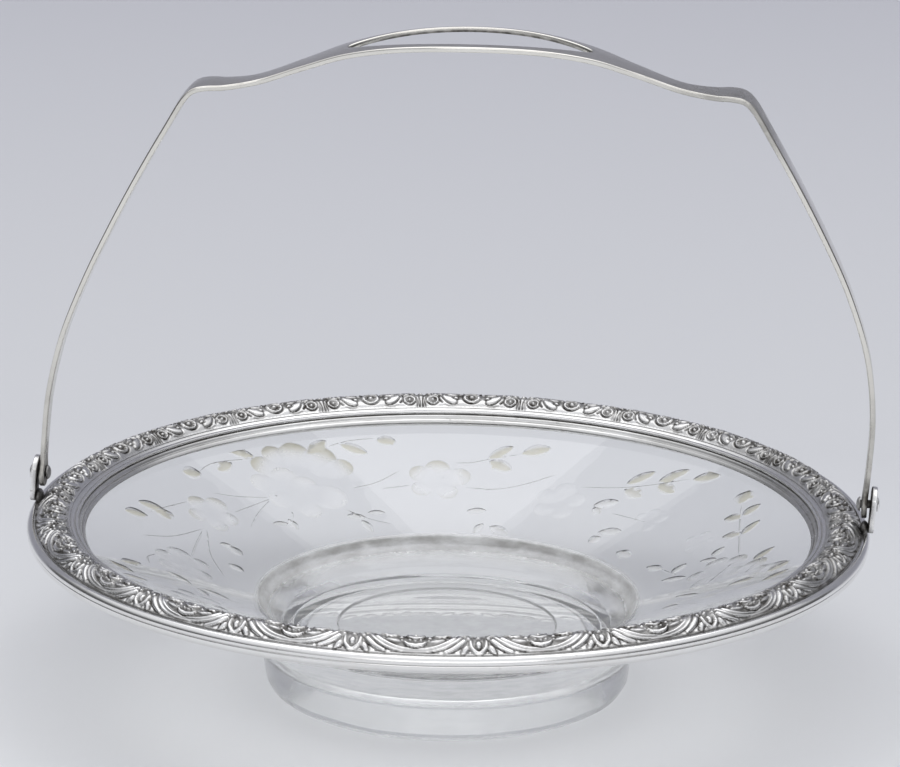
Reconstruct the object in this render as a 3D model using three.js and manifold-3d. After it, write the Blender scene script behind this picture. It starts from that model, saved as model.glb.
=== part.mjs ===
// Bonbon dish: a flared glass dish with a stamped silver rim and a pierced swing handle.
// Millimetres, +Z up, origin at the centre of the foot's resting face. The handle's hinge runs along X.

import * as THREE from 'three';
import { mergeVertices } from 'three/addons/utils/BufferGeometryUtils.js';
import Module from 'manifold-3d';

const wasm = await Module();
wasm.setup();

// Counts: steps round the dish, round a rivet, along the flare of the bowl and along the handle
const round_steps = 66;
const rivet_steps = 18;
const dome_steps = 4;
const flare_steps = 7;
const bail_steps = 92;
const slot_steps = 24;
const arc_steps = 12;

// Glass dish. The well and the foot are placed from the ring where the flare starts.
const flare_start_radius = 36.4;
const flare_start_height = 17.4;
const well_step_inset = 1.7;
const well_step_drop = 2.5;
const well_floor_inset = 6.8;
const well_floor_drop = 5.8;
const disc_inset = 15.4;
const disc_step = 0.35;
const floor_thickness = 4.2;
const foot_wall_inset = 0.1;
const foot_drop = 3.5;
const foot_rest_inset = 3.2;
const foot_rest_width = 3.2;
const recess_inset = 7.8;
const glass_edge_height = 33.3;
const flare_sag = 0.4;
const glass_wall = 2.8;

// Silver rim, from its outer edge in. The rises and drops are measured from the glass edge.
const rim_radius = 80.5;
const lip_width = 1.9;
const band_width = 6.4;
const crest_share = 0.547;
const glass_edge_share = 0.28;
const bead_setback = 1.2;
const bead_half_width = 0.3;
const collar_width = 1.95;
const collar_slope_width = 0.85;
const collar_rise = 0.9;
const crest_rise = 2.5;
const lip_rise = 0.65;
const band_inner_rise = 0.4;
const bead_rise = 0.1;
const bead_drop = 0.55;
const roll_drop = 0.7;
const seam_drop = 1.35;
const plate_drop = 3.1;
const plate_lap = 1.95;
const plate_corner = 1.1;
const plate_sheet = 0.55;
const roll_depth = 0.2;
const cove_width = 0.5;
const border_sheet = 0.6;
const seat_gap = 0.15;
const fill_gap = 0.25;

// Ears and rivets. The hinge and the ears' feet are placed from the glass edge too.
const pivot_rise = 5.7;
const ear_inset = 0.55;
const ear_thickness = 1.1;
const ear_radius = 3.6;
const ear_foot_radius = 2.0;
const ear_foot_rise = 0.4;
const ear_lean_left = 5.0;
const ear_lean_right = 3.2;
const pin_radius = 0.8;
const pin_clearance = 0.12;
const rivet_head_radius = 1.4;
const rivet_head_rise = 0.65;
const rivet_end_radius = 1.4;
const rivet_end_rise = 0.75;
const rivet_seat = 0.03;
const rivet_play = 0.27;

// Handle
const bail_setback = 1.65;
const bail_height = 88.05;
const bail_thickness = 1.05;
const bail_edge_break = 0.22;
const bail_side_play = 0.3;
const bail_side_set = 2.4;
const bail_side_rise = 0.85;
const bail_set_height = 50.0;
const bail_camber = 0.8;
const bail_end_radius = 2.7;
const bail_foot_width = 3.4;
const bail_shoulder_width = 9.6;
const bail_neck_width = 6.4;
const bail_grip_width = 20.4;
const bail_bar_width = 2.0;
const slot_length = 46.0;
const bail_hole_clearance = 0.2;
const cut_overrun = 6.0;

// Half of the handle's line from the pivot to the crown: shares of its half span and of its height
const bail_line_shares = [
  [1.0, 0.0],
  [1.0, 0.091],
  [0.997, 0.176],
  [0.984, 0.261],
  [0.963, 0.341],
  [0.911, 0.466],
  [0.857, 0.568],
  [0.789, 0.684],
  [0.718, 0.795],
  [0.669, 0.866],
  [0.648, 0.881],
  [0.618, 0.886],
  [0.583, 0.886],
  [0.505, 0.896],
  [0.393, 0.931],
  [0.288, 0.965],
  [0.152, 0.991],
  [0.0, 1.0],
];

// Where along the half line, as shares of its length, the strip has each of its widths
const foot_share = 0.04;
const shoulder_share = 0.62;
const neck_share = 0.7;

// The outline of the foot's wall from the bowl down: shares of its bulge and of its height
const foot_wall_shares = [
  [1.0, 0.96],
  [0.88, 0.62],
  [0.72, 0.34],
  [0.6, 0.15],
  [0.36, 0.045],
];

// The ornament band's section from its inner side out: shares of its run and of its rise, either side of the crest
const band_rise_shares = [
  [0.28, 0.54],
  [0.63, 0.88],
];
const band_fall_shares = [
  [0.45, 0.8],
  [0.8, 0.38],
];

const silver = (tone) => new THREE.MeshStandardMaterial({ color: tone, roughness: 0.22, metalness: 1.0 });
const glass_look = new THREE.MeshStandardMaterial({
  color: 0xe6ecee, roughness: 0.05, metalness: 0.0, transparent: true, opacity: 0.35,
});

const mix = (low, high, share) => low + (high - low) * share;

// Radii and heights that follow from the sizes above
const well_step_radius = flare_start_radius - well_step_inset;
const well_step_height = flare_start_height - well_step_drop;
const well_floor_radius = flare_start_radius - well_floor_inset;
const well_floor_height = flare_start_height - well_floor_drop;
const disc_radius = flare_start_radius - disc_inset;
const foot_wall_radius = flare_start_radius - foot_wall_inset;
const foot_height = flare_start_height - foot_drop;
const foot_rest_outer = flare_start_radius - foot_rest_inset;
const foot_rest_inner = foot_rest_outer - foot_rest_width;
const recess_radius = flare_start_radius - recess_inset;
const recess_height = well_floor_height - floor_thickness;
const border_outer_radius = rim_radius - lip_width;
const border_inner_radius = border_outer_radius - band_width;
const crest_radius = mix(border_inner_radius, border_outer_radius, crest_share);
const glass_edge_radius = mix(border_inner_radius, border_outer_radius, glass_edge_share);
const bead_radius = border_inner_radius - bead_setback;
const collar_outer_radius = bead_radius + bead_half_width;
const collar_inner_radius = collar_outer_radius - collar_width;
const plate_inner_radius = glass_edge_radius - plate_lap;
const bail_half_span = rim_radius - bail_setback;
const crest_height = glass_edge_height + crest_rise;
const border_outer_height = glass_edge_height + lip_rise;
const border_inner_height = glass_edge_height + band_inner_rise;
const bead_height = glass_edge_height + bead_rise;
const roll_height = glass_edge_height - roll_drop;
const seam_height = glass_edge_height - seam_drop;
const plate_height = glass_edge_height - plate_drop;
const pivot_height = glass_edge_height + pivot_rise;
const ear_foot_height = glass_edge_height + ear_foot_rise;

// A ring or bowl turned about Z from a closed outline of [radius, height] points.
// The outline runs clockwise, seen with the radius to the right and the height upward.
function turned(outline, steps = round_steps) {
  const points = outline.map(([radius, height]) => new THREE.Vector2(radius, height));
  const geometry = new THREE.LatheGeometry(points.reverse(), steps);
  geometry.rotateX(Math.PI / 2);
  return geometry;
}

function closedRing(outline) {
  return turned([...outline, outline[0]]);
}

// The bowl's flare, seen from inside: a straight slope with a little sag
function glassTop(radius) {
  const share = (radius - flare_start_radius) / (glass_edge_radius - flare_start_radius);
  return mix(flare_start_height, glass_edge_height, share) - 4 * flare_sag * share * (1 - share);
}

const flare_lean = Math.atan2(glass_edge_height - flare_start_height, glass_edge_radius - flare_start_radius);

function glassUnder(radius) {
  return glassTop(radius) - glass_wall / Math.cos(flare_lean);
}

// Sub-part: glass dish
function glassDish() {
  const disc_height = well_floor_height - disc_step;
  const outline = [
    [0, disc_height],
    [disc_radius, disc_height],
    [disc_radius + disc_step, well_floor_height],
    [well_floor_radius, well_floor_height],
    [mix(well_floor_radius, well_step_radius, 0.4), mix(well_floor_height, well_step_height, 0.3)],
    [well_step_radius, well_step_height],
  ];
  for (let i = 0; i <= flare_steps; i += 1) {
    const radius = mix(flare_start_radius, glass_edge_radius, i / flare_steps);
    outline.push([radius, glassTop(radius)]);
  }
  outline.push([glass_edge_radius + glass_wall * 0.3, mix(glassUnder(glass_edge_radius), glass_edge_height, 0.5)]);
  for (let i = flare_steps; i >= 1; i -= 1) {
    const radius = mix(flare_start_radius, glass_edge_radius, i / flare_steps);
    outline.push([radius, glassUnder(radius)]);
  }
  for (const [bulge, height] of foot_wall_shares) {
    outline.push([mix(foot_rest_outer, foot_wall_radius, bulge), foot_height * height]);
  }
  outline.push(
    [foot_rest_outer, 0],
    [foot_rest_inner, 0],
    [mix(recess_radius, foot_rest_inner, 0.4), recess_height * 0.12],
    [recess_radius, recess_height * 0.8],
    [recess_radius - recess_height * 0.2, recess_height],
    [0, recess_height],
  );
  return turned(outline);
}

// Height of the border's outer face inside the crest and outside it
const band_inner = band_rise_shares.map(([run, rise]) => [
  mix(border_inner_radius, crest_radius, run),
  mix(border_inner_height, crest_height, rise),
]);
const band_outer = band_fall_shares.map(([run, rise]) => [
  mix(crest_radius, border_outer_radius, run),
  mix(border_outer_height, crest_height, rise),
]);

// Sub-part: stamped border, the outer face first and then its underside
function rimBorder() {
  const under = (point) => [point[0], point[1] - border_sheet];
  return closedRing([
    [bead_radius - bead_half_width, bead_height - bead_drop],
    [bead_radius - bead_half_width * 0.6, bead_height - bead_drop * 0.3],
    [bead_radius, bead_height],
    [bead_radius + bead_half_width, bead_height - bead_drop * 0.3],
    [mix(bead_radius, border_inner_radius, 0.5), bead_height - bead_drop * 0.4],
    [border_inner_radius, border_inner_height],
    ...band_inner,
    [crest_radius, crest_height],
    ...band_outer,
    [border_outer_radius, border_outer_height],
    [border_outer_radius + cove_width, border_outer_height - cove_width * 0.8],
    [mix(border_outer_radius + cove_width, rim_radius, 0.55), border_outer_height - cove_width],
    [rim_radius - roll_depth * 0.5, mix(roll_height, border_outer_height, 0.4)],
    [rim_radius, roll_height],
    [rim_radius - roll_depth, seam_height],
    [rim_radius - roll_depth - border_sheet, seam_height],
    [rim_radius - border_sheet * 1.2, roll_height],
    [border_outer_radius, border_outer_height - border_sheet * 1.3],
    under(band_outer[0]),
    under([crest_radius, crest_height]),
    under(band_inner[0]),
    under([border_inner_radius, border_inner_height]),
    [bead_radius, bead_height - bead_drop - border_sheet * 0.2],
  ]);
}

// Sub-part: plain bezel ring between the bead and the glass
function rimCollar() {
  const foot = glassTop(collar_inner_radius) + seat_gap;
  const shoulder_radius = collar_inner_radius + collar_slope_width;
  const top = bead_height - bead_drop - seat_gap * 1.5;
  return closedRing([
    [collar_inner_radius, foot],
    [collar_inner_radius + seat_gap, foot + seat_gap * 2],
    [shoulder_radius, Math.min(foot + collar_rise + seat_gap, top)],
    [mix(shoulder_radius, collar_outer_radius, 0.4), top],
    [collar_outer_radius, top],
    [collar_outer_radius, glassTop(collar_outer_radius) + seat_gap],
  ]);
}

// Sub-part: lower ring that closes the border. It lies under the glass and turns up to the seam.
function rimUnderplate() {
  const outer = rim_radius - roll_depth * 0.8;
  const inner_top = glassUnder(plate_inner_radius) - seat_gap;
  const edge_radius = glass_edge_radius + glass_wall * 0.5;
  const edge_top = glassUnder(glass_edge_radius) - seat_gap;
  return closedRing([
    [plate_inner_radius, inner_top],
    [glass_edge_radius, edge_top],
    [edge_radius, Math.max(edge_top, plate_height + plate_sheet * 0.6)],
    [outer - plate_corner - plate_sheet * 0.4, plate_height + plate_sheet],
    [outer - plate_sheet, plate_height + plate_corner],
    [outer - plate_sheet - roll_depth * 0.2, seam_height],
    [outer - roll_depth * 0.2, seam_height],
    [outer, plate_height + plate_corner * 0.9],
    [outer - plate_corner * 0.35, plate_height + plate_corner * 0.3],
    [outer - plate_corner, plate_height],
    [edge_radius, Math.min(edge_top, plate_height + plate_sheet * 0.6) - plate_sheet],
    [plate_inner_radius, inner_top - plate_sheet],
  ]);
}

// Sub-part: fill inside the hollow rim, which beds the glass edge
function rimCement() {
  const lower = (point) => [point[0], point[1] - border_sheet - fill_gap];
  const inner_radius = mix(border_inner_radius, glass_edge_radius, 0.45);
  const wall_radius = glass_edge_radius + glass_wall * 0.3 + fill_gap;
  const outer_radius = rim_radius - roll_depth - border_sheet - fill_gap;
  return closedRing([
    [inner_radius, glassTop(inner_radius) + seat_gap],
    lower(band_inner[0]),
    lower([crest_radius, crest_height]),
    lower(band_outer[0]),
    [border_outer_radius - fill_gap, border_outer_height - border_sheet * 1.3 - fill_gap],
    [outer_radius - fill_gap, roll_height],
    [outer_radius, seam_height],
    [outer_radius - fill_gap, plate_height + plate_corner],
    [outer_radius - plate_corner, plate_height + plate_sheet + fill_gap],
    [wall_radius, plate_height + plate_sheet + fill_gap],
    [wall_radius, glass_edge_height + seat_gap],
    [glass_edge_radius, glass_edge_height + seat_gap],
  ]);
}

// The ears stand on the rim's outer slope, and both lean a little to +X
const ear_inner_face = rim_radius - ear_inset;
const ear_outer_face = ear_inner_face + ear_thickness;

function earLean(side) {
  return THREE.MathUtils.degToRad(side < 0 ? ear_lean_left : ear_lean_right);
}

// Sub-part: ear, a plate that is round at the hinge and narrows to a round foot
function ear(side) {
  const drop = pivot_height - ear_foot_height;
  const foot_rise = drop - ear_foot_radius;
  const tuck = Math.asin((ear_radius - ear_foot_radius) / foot_rise);
  const shape = new THREE.Shape();
  shape.absarc(0, 0, ear_radius, tuck, Math.PI - tuck, false);
  shape.absarc(0, -foot_rise, ear_foot_radius, Math.PI - tuck, Math.PI * 2 + tuck, false);
  const bore = new THREE.Path();
  bore.absarc(0, 0, pin_radius + pin_clearance, 0, Math.PI * 2, true);
  shape.holes.push(bore);
  const geometry = new THREE.ExtrudeGeometry(shape, {
    depth: ear_thickness, bevelEnabled: false, curveSegments: arc_steps,
  });
  geometry.rotateX(Math.PI / 2);
  geometry.rotateZ(Math.PI / 2);
  geometry.translate(-ear_thickness / 2, 0, drop);
  geometry.rotateY(earLean(side));
  geometry.translate(side * mix(ear_inner_face, ear_outer_face, 0.5), 0, ear_foot_height);
  return geometry;
}

// Sub-part: rivet, a headed pin along X with its peened end inside the handle's strip
function rivet(side) {
  const slope = Math.tan(earLean(side));
  const lean_shift = (pivot_height - ear_foot_height) * slope;
  const head_face = ear_outer_face + side * lean_shift + rivet_head_radius * slope + rivet_seat;
  const end_face = bail_half_span + side * bail_side_play - bail_thickness / 2 - rivet_play;
  const outline = [];
  for (let i = 0; i <= dome_steps; i += 1) {
    const turn = (Math.PI / 2) * (i / dome_steps);
    outline.push([rivet_head_radius * Math.sin(turn), head_face + rivet_head_rise * Math.cos(turn)]);
  }
  outline.push([pin_radius, head_face], [pin_radius, end_face]);
  for (let i = dome_steps; i >= 0; i -= 1) {
    const turn = (Math.PI / 2) * (i / dome_steps);
    outline.push([rivet_end_radius * Math.sin(turn), end_face - rivet_end_rise * Math.cos(turn)]);
  }
  const geometry = turned(outline, rivet_steps);
  geometry.rotateY((side * Math.PI) / 2);
  geometry.translate(0, 0, pivot_height);
  return geometry;
}

// The handle sits a little to +X on its rivets and is bent a little out of true, as the photographed one is:
// its top stands off to +X, and its +X shoulder stands higher than the other one
function setShare(height) {
  const share = Math.min(Math.max(height / bail_set_height, 0), 1);
  return Math.sin((share * Math.PI) / 2);
}

function outOfTrue(x, height) {
  const share = setShare(height);
  return [x + bail_side_play + bail_side_set * share, height + bail_side_rise * share * (x / bail_half_span)];
}

// The handle's line in its own plane, from the left end to the right end, and its length in even steps
function bailLine() {
  const half = bail_line_shares.map(([span, rise]) => [span * bail_half_span, rise * bail_height]);
  const left = half.map(([x, z]) => new THREE.Vector3(-x, 0, z));
  const right = half.slice(0, -1).reverse().map(([x, z]) => new THREE.Vector3(x, 0, z));
  return new THREE.CatmullRomCurve3([...left, ...right], false, 'centripetal');
}

const ease = (share) => share * share * (3 - 2 * share);

// Width of the strip at a share of the half line: end, arm, shoulder, neck, grip
function stripWidth(share) {
  if (share < foot_share) {
    return bail_foot_width;
  }
  if (share < shoulder_share) {
    return mix(bail_foot_width, bail_shoulder_width, (share - foot_share) / (shoulder_share - foot_share));
  }
  if (share < neck_share) {
    return mix(bail_shoulder_width, bail_neck_width, ease((share - shoulder_share) / (neck_share - shoulder_share)));
  }
  const grip = (share - neck_share) / (1 - neck_share);
  return mix(bail_neck_width, bail_grip_width, Math.sin((grip * Math.PI) / 2) ** 2);
}

function toManifold(geometry) {
  geometry.deleteAttribute('normal');
  geometry.deleteAttribute('uv');
  const merged = mergeVertices(geometry);
  return new wasm.Manifold(new wasm.Mesh({
    numProp: 3,
    vertProperties: new Float32Array(merged.attributes.position.array),
    triVerts: new Uint32Array(merged.index.array),
  }));
}

function fromManifold(solid) {
  const mesh = solid.getMesh();
  const geometry = new THREE.BufferGeometry();
  geometry.setAttribute('position', new THREE.BufferAttribute(new Float32Array(mesh.vertProperties), 3));
  geometry.setIndex(new THREE.BufferAttribute(new Uint32Array(mesh.triVerts), 1));
  return geometry;
}

// The uncut strip: a section with broken edges and a little camber, swept along the line
function stripGeometry() {
  const line = bailLine();
  const positions = [];
  const faces = [];
  const half = bail_thickness / 2;
  const chamfer = bail_edge_break;
  const sides = 12;
  for (let i = 0; i <= bail_steps; i += 1) {
    const along = i / bail_steps;
    const centre = line.getPointAt(along);
    const tangent = line.getTangentAt(along);
    const normal = [tangent.z, -tangent.x];
    const half_width = stripWidth(1 - Math.abs(2 * along - 1)) / 2;
    const quarter = half_width / 2;
    const section = [
      [half_width - chamfer, half], [half_width, half - chamfer],
      [half_width, chamfer - half], [half_width - chamfer, -half],
      [quarter, -half], [-quarter, -half],
      [chamfer - half_width, -half], [-half_width, chamfer - half],
      [-half_width, half - chamfer], [chamfer - half_width, half],
      [-quarter, half], [quarter, half],
    ];
    for (const [across, level] of section) {
      const out = level + bail_camber * (across / (bail_grip_width / 2)) ** 2;
      const [x, height] = outOfTrue(centre.x + normal[0] * out, centre.z + normal[1] * out);
      positions.push(x, across, height + pivot_height);
    }
  }
  for (let i = 0; i < bail_steps; i += 1) {
    for (let k = 0; k < sides; k += 1) {
      const a = i * sides + k;
      const b = i * sides + ((k + 1) % sides);
      faces.push(a, b, a + sides, b, b + sides, a + sides);
    }
  }
  const last = bail_steps * sides;
  for (let k = 1; k < sides - 1; k += 1) {
    faces.push(0, k + 1, k, last, last + k, last + k + 1);
  }
  const geometry = new THREE.BufferGeometry();
  geometry.setAttribute('position', new THREE.Float32BufferAttribute(positions, 3));
  geometry.setIndex(faces);
  return geometry;
}

// A cylinder along X at the height of the hinge, for the strip's round ends and for their holes
function hingeCylinder(radius, length, x) {
  const geometry = new THREE.CylinderGeometry(radius, radius, length, rivet_steps);
  geometry.rotateZ(Math.PI / 2);
  geometry.translate(x, 0, pivot_height);
  return toManifold(geometry);
}

// The long slot at the grip: its sides follow the strip's edges and close towards both tips
function slotCutter() {
  const line = bailLine();
  const reach = slot_length / line.getLength() / 2;
  const near = [];
  const far = [];
  for (let i = 0; i <= slot_steps; i += 1) {
    const turn = (2 * i) / slot_steps - 1;
    const along = 0.5 + reach * turn;
    const centre = line.getPointAt(along);
    const half = (stripWidth(1 - Math.abs(2 * along - 1)) / 2 - bail_bar_width) * Math.sqrt(1 - turn ** 4);
    const [x] = outOfTrue(centre.x, centre.z);
    near.push(new THREE.Vector2(x, -half));
    if (i > 0 && i < slot_steps) {
      far.unshift(new THREE.Vector2(x, half));
    }
  }
  const shape = new THREE.Shape([...near, ...far]);
  const depth = bail_grip_width + 2 * cut_overrun;
  const geometry = new THREE.ExtrudeGeometry(shape, { depth, bevelEnabled: false });
  geometry.translate(0, 0, pivot_height + bail_height - depth / 2);
  return toManifold(geometry);
}

// Sub-part: handle, one bent strip with round drilled ends and a pierced grip
function bailHandle() {
  let solid = toManifold(stripGeometry());
  for (const side of [-1, 1]) {
    const x = side * bail_half_span + bail_side_play;
    solid = solid.add(hingeCylinder(bail_end_radius, bail_thickness, x));
  }
  for (const side of [-1, 1]) {
    const hole = hingeCylinder(pin_radius + bail_hole_clearance, cut_overrun, side * bail_half_span);
    solid = solid.subtract(hole);
  }
  return fromManifold(solid.subtract(slotCutter()));
}

const group = new THREE.Group();

function place(name, geometry, material) {
  const mesh = new THREE.Mesh(geometry, material);
  mesh.name = name;
  group.add(mesh);
}

place('glass_dish', glassDish(), glass_look);
place('rim_border', rimBorder(), silver(0xb9b7b4));
place('rim_collar', rimCollar(), silver(0xc6c5c3));
place('rim_underplate', rimUnderplate(), silver(0xc0bfbd));
place('rim_cement', rimCement(), new THREE.MeshStandardMaterial({ color: 0xd8d2c4, roughness: 0.9, metalness: 0.0 }));
for (const [word, side] of [['left', -1], ['right', 1]]) {
  place(`ear_${word}`, ear(side), silver(0xc9c6c1));
  place(`rivet_${word}`, rivet(side), silver(0xd2cfca));
}
place('bail_handle', bailHandle(), silver(0xcdcac6));

export default group;
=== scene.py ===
import math
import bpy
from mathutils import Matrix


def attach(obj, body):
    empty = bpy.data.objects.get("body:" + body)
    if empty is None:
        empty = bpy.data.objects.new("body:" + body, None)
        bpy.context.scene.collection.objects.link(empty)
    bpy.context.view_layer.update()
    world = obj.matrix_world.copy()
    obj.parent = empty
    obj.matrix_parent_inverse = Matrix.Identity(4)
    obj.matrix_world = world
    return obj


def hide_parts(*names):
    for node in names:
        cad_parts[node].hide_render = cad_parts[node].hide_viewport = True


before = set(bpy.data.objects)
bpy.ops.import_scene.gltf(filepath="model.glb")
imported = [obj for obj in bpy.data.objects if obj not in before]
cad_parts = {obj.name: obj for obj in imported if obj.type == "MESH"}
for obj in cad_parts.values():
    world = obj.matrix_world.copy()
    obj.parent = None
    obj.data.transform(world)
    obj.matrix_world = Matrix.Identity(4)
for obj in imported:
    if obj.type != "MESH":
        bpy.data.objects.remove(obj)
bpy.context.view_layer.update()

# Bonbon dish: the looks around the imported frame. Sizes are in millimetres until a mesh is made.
from types import SimpleNamespace

import bmesh
import bpy
import numpy as np
from mathutils import Matrix, Vector
from mathutils.geometry import delaunay_2d_cdt

MM = 0.001

# The dish's sizes, as in the CAD source
FLARE_START = (36.4, 17.4)
GLASS_EDGE = (73.99, 33.3)
FLARE_SAG = 0.4
GLASS_WALL = 2.8
PIVOT_HEIGHT = 39.0

ROUND_STEPS = 264
ENGRAVED_INNER = 39.8
ENGRAVED_OUTER = 69.2
CUT_MARGIN = 0.3
POINT_MARGIN = 0.15


def mix(low, high, share):
    return low + (high - low) * share


def smoothstep(low, high, value):
    share = np.clip((value - low) / (high - low), 0.0, 1.0)
    return share * share * (3.0 - 2.0 * share)


def between(edges, value):
    """One between the two middle edges, falling to zero at the outer ones."""
    return smoothstep(edges[0], edges[1], value) * smoothstep(edges[3], edges[2], value)


# Points and lines in a plane

def lengths(vectors):
    return np.linalg.norm(vectors, axis=1)


def run_along(line):
    """The length of a line up to each of its points."""
    return np.concatenate([[0], np.cumsum(lengths(np.diff(line, axis=0)))])


def arc(radius, turn, centre=(0.0, 0.0)):
    """Points on a circle at the given angles."""
    return np.column_stack([centre[0] + radius * np.cos(turn), centre[1] + radius * np.sin(turn)])


def grid_points(us, vs):
    grid_u, grid_v = np.meshgrid(us, vs)
    return np.column_stack([grid_u.ravel(), grid_v.ravel()])


def to_left(directions):
    """Directions turned left by a right angle."""
    return np.stack([-directions[..., 1], directions[..., 0]], axis=-1)


def sideways(tangents):
    """Unit vectors to the left of a line's directions."""
    return to_left(tangents / np.maximum(lengths(tangents)[:, None], 1e-9))


def line_normals(line):
    return sideways(np.gradient(line, axis=0))


def to_segment(points, start, end):
    """Distance from each point to a straight segment, and the share of it at the nearest place."""
    along = end - start
    share = np.clip(((points - start) @ along) / max(along @ along, 1e-12), 0, 1)
    return lengths(points - start - share[:, None] * along), share


def loop_distance(points, loop):
    """Distance from each point to a closed line."""
    return np.min([to_segment(points, a, b)[0] for a, b in zip(loop, np.roll(loop, -1, axis=0))], axis=0)


def inside_loop(points, loop):
    """Whether each point lies inside a closed line."""
    x, y = points[:, 0], points[:, 1]
    inside = np.zeros(len(points), dtype=bool)
    for (x0, y0), (x1, y1) in zip(loop, np.roll(loop, -1, axis=0)):
        if y0 != y1:
            crosses = (y0 > y) != (y1 > y)
            inside ^= crosses & (x < (x1 - x0) * (y - y0) / (y1 - y0) + x0)
    return inside


def offset_loop(loop, distance):
    """A closed line moved to its left by a distance."""
    return loop + sideways(np.roll(loop, -1, axis=0) - np.roll(loop, 1, axis=0)) * distance


def smooth_line(points, step):
    """A smooth line through points, as points about one step apart."""
    points = np.asarray(points, dtype=float)
    padded = np.vstack([2 * points[0] - points[1], points, 2 * points[-1] - points[-2]])
    out = []
    for p0, p1, p2, p3 in zip(padded, padded[1:], padded[2:], padded[3:]):
        count = max(int(np.linalg.norm(p2 - p1) / step), 2)
        for i in range(count):
            t = i / count
            out.append(0.5 * ((2 * p1) + (p2 - p0) * t + (2 * p0 - 5 * p1 + 4 * p2 - p3) * t * t
                              + (3 * p1 - p0 - 3 * p2 + p3) * t ** 3))
    out.append(points[-1])
    return np.array(out)


class Sheet:
    """The points and outlines of a flat mesh, to be filled with triangles."""

    def __init__(self):
        self.points, self.edges, self.count = [], [], 0

    def scatter(self, points):
        self.points.append(points)
        self.count += len(points)

    def loop(self, points):
        """Points of a closed outline, which the triangles follow."""
        size = len(points)
        self.edges += [(self.count + i, self.count + (i + 1) % size) for i in range(size)]
        self.scatter(points)

    def triangles(self, tolerance):
        points = [Vector(p) for p in np.vstack(self.points)]
        flat, _, faces, _, _, _ = delaunay_2d_cdt(points, self.edges, [], 0, tolerance)
        return np.array([(p.x, p.y) for p in flat]), np.array([list(f) for f in faces if len(f) == 3])


# Meshes

def new_object(name, vertices, faces, body, slot, material, sharp_angle=40.0):
    """A smooth-shaded object made of points in millimetres, riding on a body."""
    mesh = bpy.data.meshes.new(name)
    points = np.asarray(vertices, dtype=float) * MM
    mesh.from_pydata(points.tolist(), [], [list(map(int, face)) for face in faces])
    mesh.materials.append(material)
    mesh.polygons.foreach_set("use_smooth", np.ones(len(mesh.polygons), dtype=bool))
    mesh.update()
    mesh.set_sharp_from_angle(angle=math.radians(sharp_angle))
    obj = bpy.data.objects.new(name, mesh)
    bpy.context.scene.collection.objects.link(obj)
    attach(obj, body)
    return obj


def rounded(corners, steps):
    """A line through corners, each with its place and how far it is rounded."""
    points = [np.array(corner[:2], dtype=float) for corner in corners]
    out = [points[0]]
    for before, corner, after, (*_, radius) in zip(points, points[1:], points[2:], corners[1:]):
        to_before, to_after = before - corner, after - corner
        len_before, len_after = np.linalg.norm(to_before), np.linalg.norm(to_after)
        cosine = np.clip(np.dot(to_before, to_after) / (len_before * len_after), -1.0, 1.0)
        half = math.acos(cosine) / 2
        reach = min(radius / max(math.tan(half), 1e-6), 0.45 * len_before, 0.45 * len_after)
        if radius <= 0 or reach < 1e-4 or half > math.radians(88):
            out.append(corner)
            continue
        start = corner + to_before / len_before * reach
        end = corner + to_after / len_after * reach
        for i in range(steps + 1):
            t = i / steps
            out.append((1 - t) ** 2 * start + 2 * t * (1 - t) * corner + t ** 2 * end)
    out.append(points[-1])
    return np.array(out)


def rounded_loop(points, radius, steps=3):
    """A closed outline whose corners, but for the first, are rounded."""
    return rounded([(x, y, radius) for x, y in points + points[:1]], steps)[:-1]


def lathe(profile, steps=ROUND_STEPS, closed=False):
    """Vertices and faces of a profile turned about Z. A profile point on the axis becomes one vertex."""
    angles = np.arange(steps) * (2 * math.pi / steps)
    vertices, rows = [], []
    for radius, height in profile:
        start = len(vertices)
        if radius < 1e-6:
            vertices.append((0.0, 0.0, height))
            rows.append(np.full(steps + 1, start))
        else:
            vertices.extend(zip(radius * np.cos(angles), radius * np.sin(angles), [height] * steps))
            rows.append(np.append(np.arange(start, start + steps), start))
    if closed:
        rows.append(rows[0])
    faces = []
    for low, high in zip(rows, rows[1:]):
        for i in range(steps):
            corners = list(dict.fromkeys([low[i], low[i + 1], high[i + 1], high[i]]))
            if len(corners) > 2:
                faces.append(corners)
    return np.array(vertices), faces


def shifted(faces, start):
    """Faces whose vertices are counted from a start."""
    return [[i + start for i in face] for face in faces]


def mark(obj, name, values):
    """Store one number for each vertex, which the materials read."""
    attribute = obj.data.attributes.new(name, "FLOAT", "POINT")
    attribute.data.foreach_set("value", np.asarray(values, dtype=np.float32))


def polar(points):
    """Distance from the dish's axis and angle about it."""
    return np.hypot(points[:, 0], points[:, 1]), np.arctan2(points[:, 1], points[:, 0])


def around(radius, turn, level):
    """Points at a distance from the dish's axis, an angle about it and a height."""
    return np.stack(np.broadcast_arrays(radius * np.cos(turn), radius * np.sin(turn), level), axis=-1)


def fix_normals(mesh):
    bm = bmesh.new()
    bm.from_mesh(mesh)
    bmesh.ops.recalc_face_normals(bm, faces=bm.faces)
    bm.to_mesh(mesh)
    bm.free()


def silver_piece(name, cad_node, shape, slot, material, sharp_angle, grime_and_shade, body="dish"):
    """A piece that stands for a CAD node: vertices and faces as its shape, and how dark each vertex is, by
    tarnish and by painted shade.
    """
    obj = new_object(name, *shape, body, slot, material, sharp_angle)
    fix_normals(obj.data)
    mark(obj, "hollow", grime_and_shade)
    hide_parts(cad_node)


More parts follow.
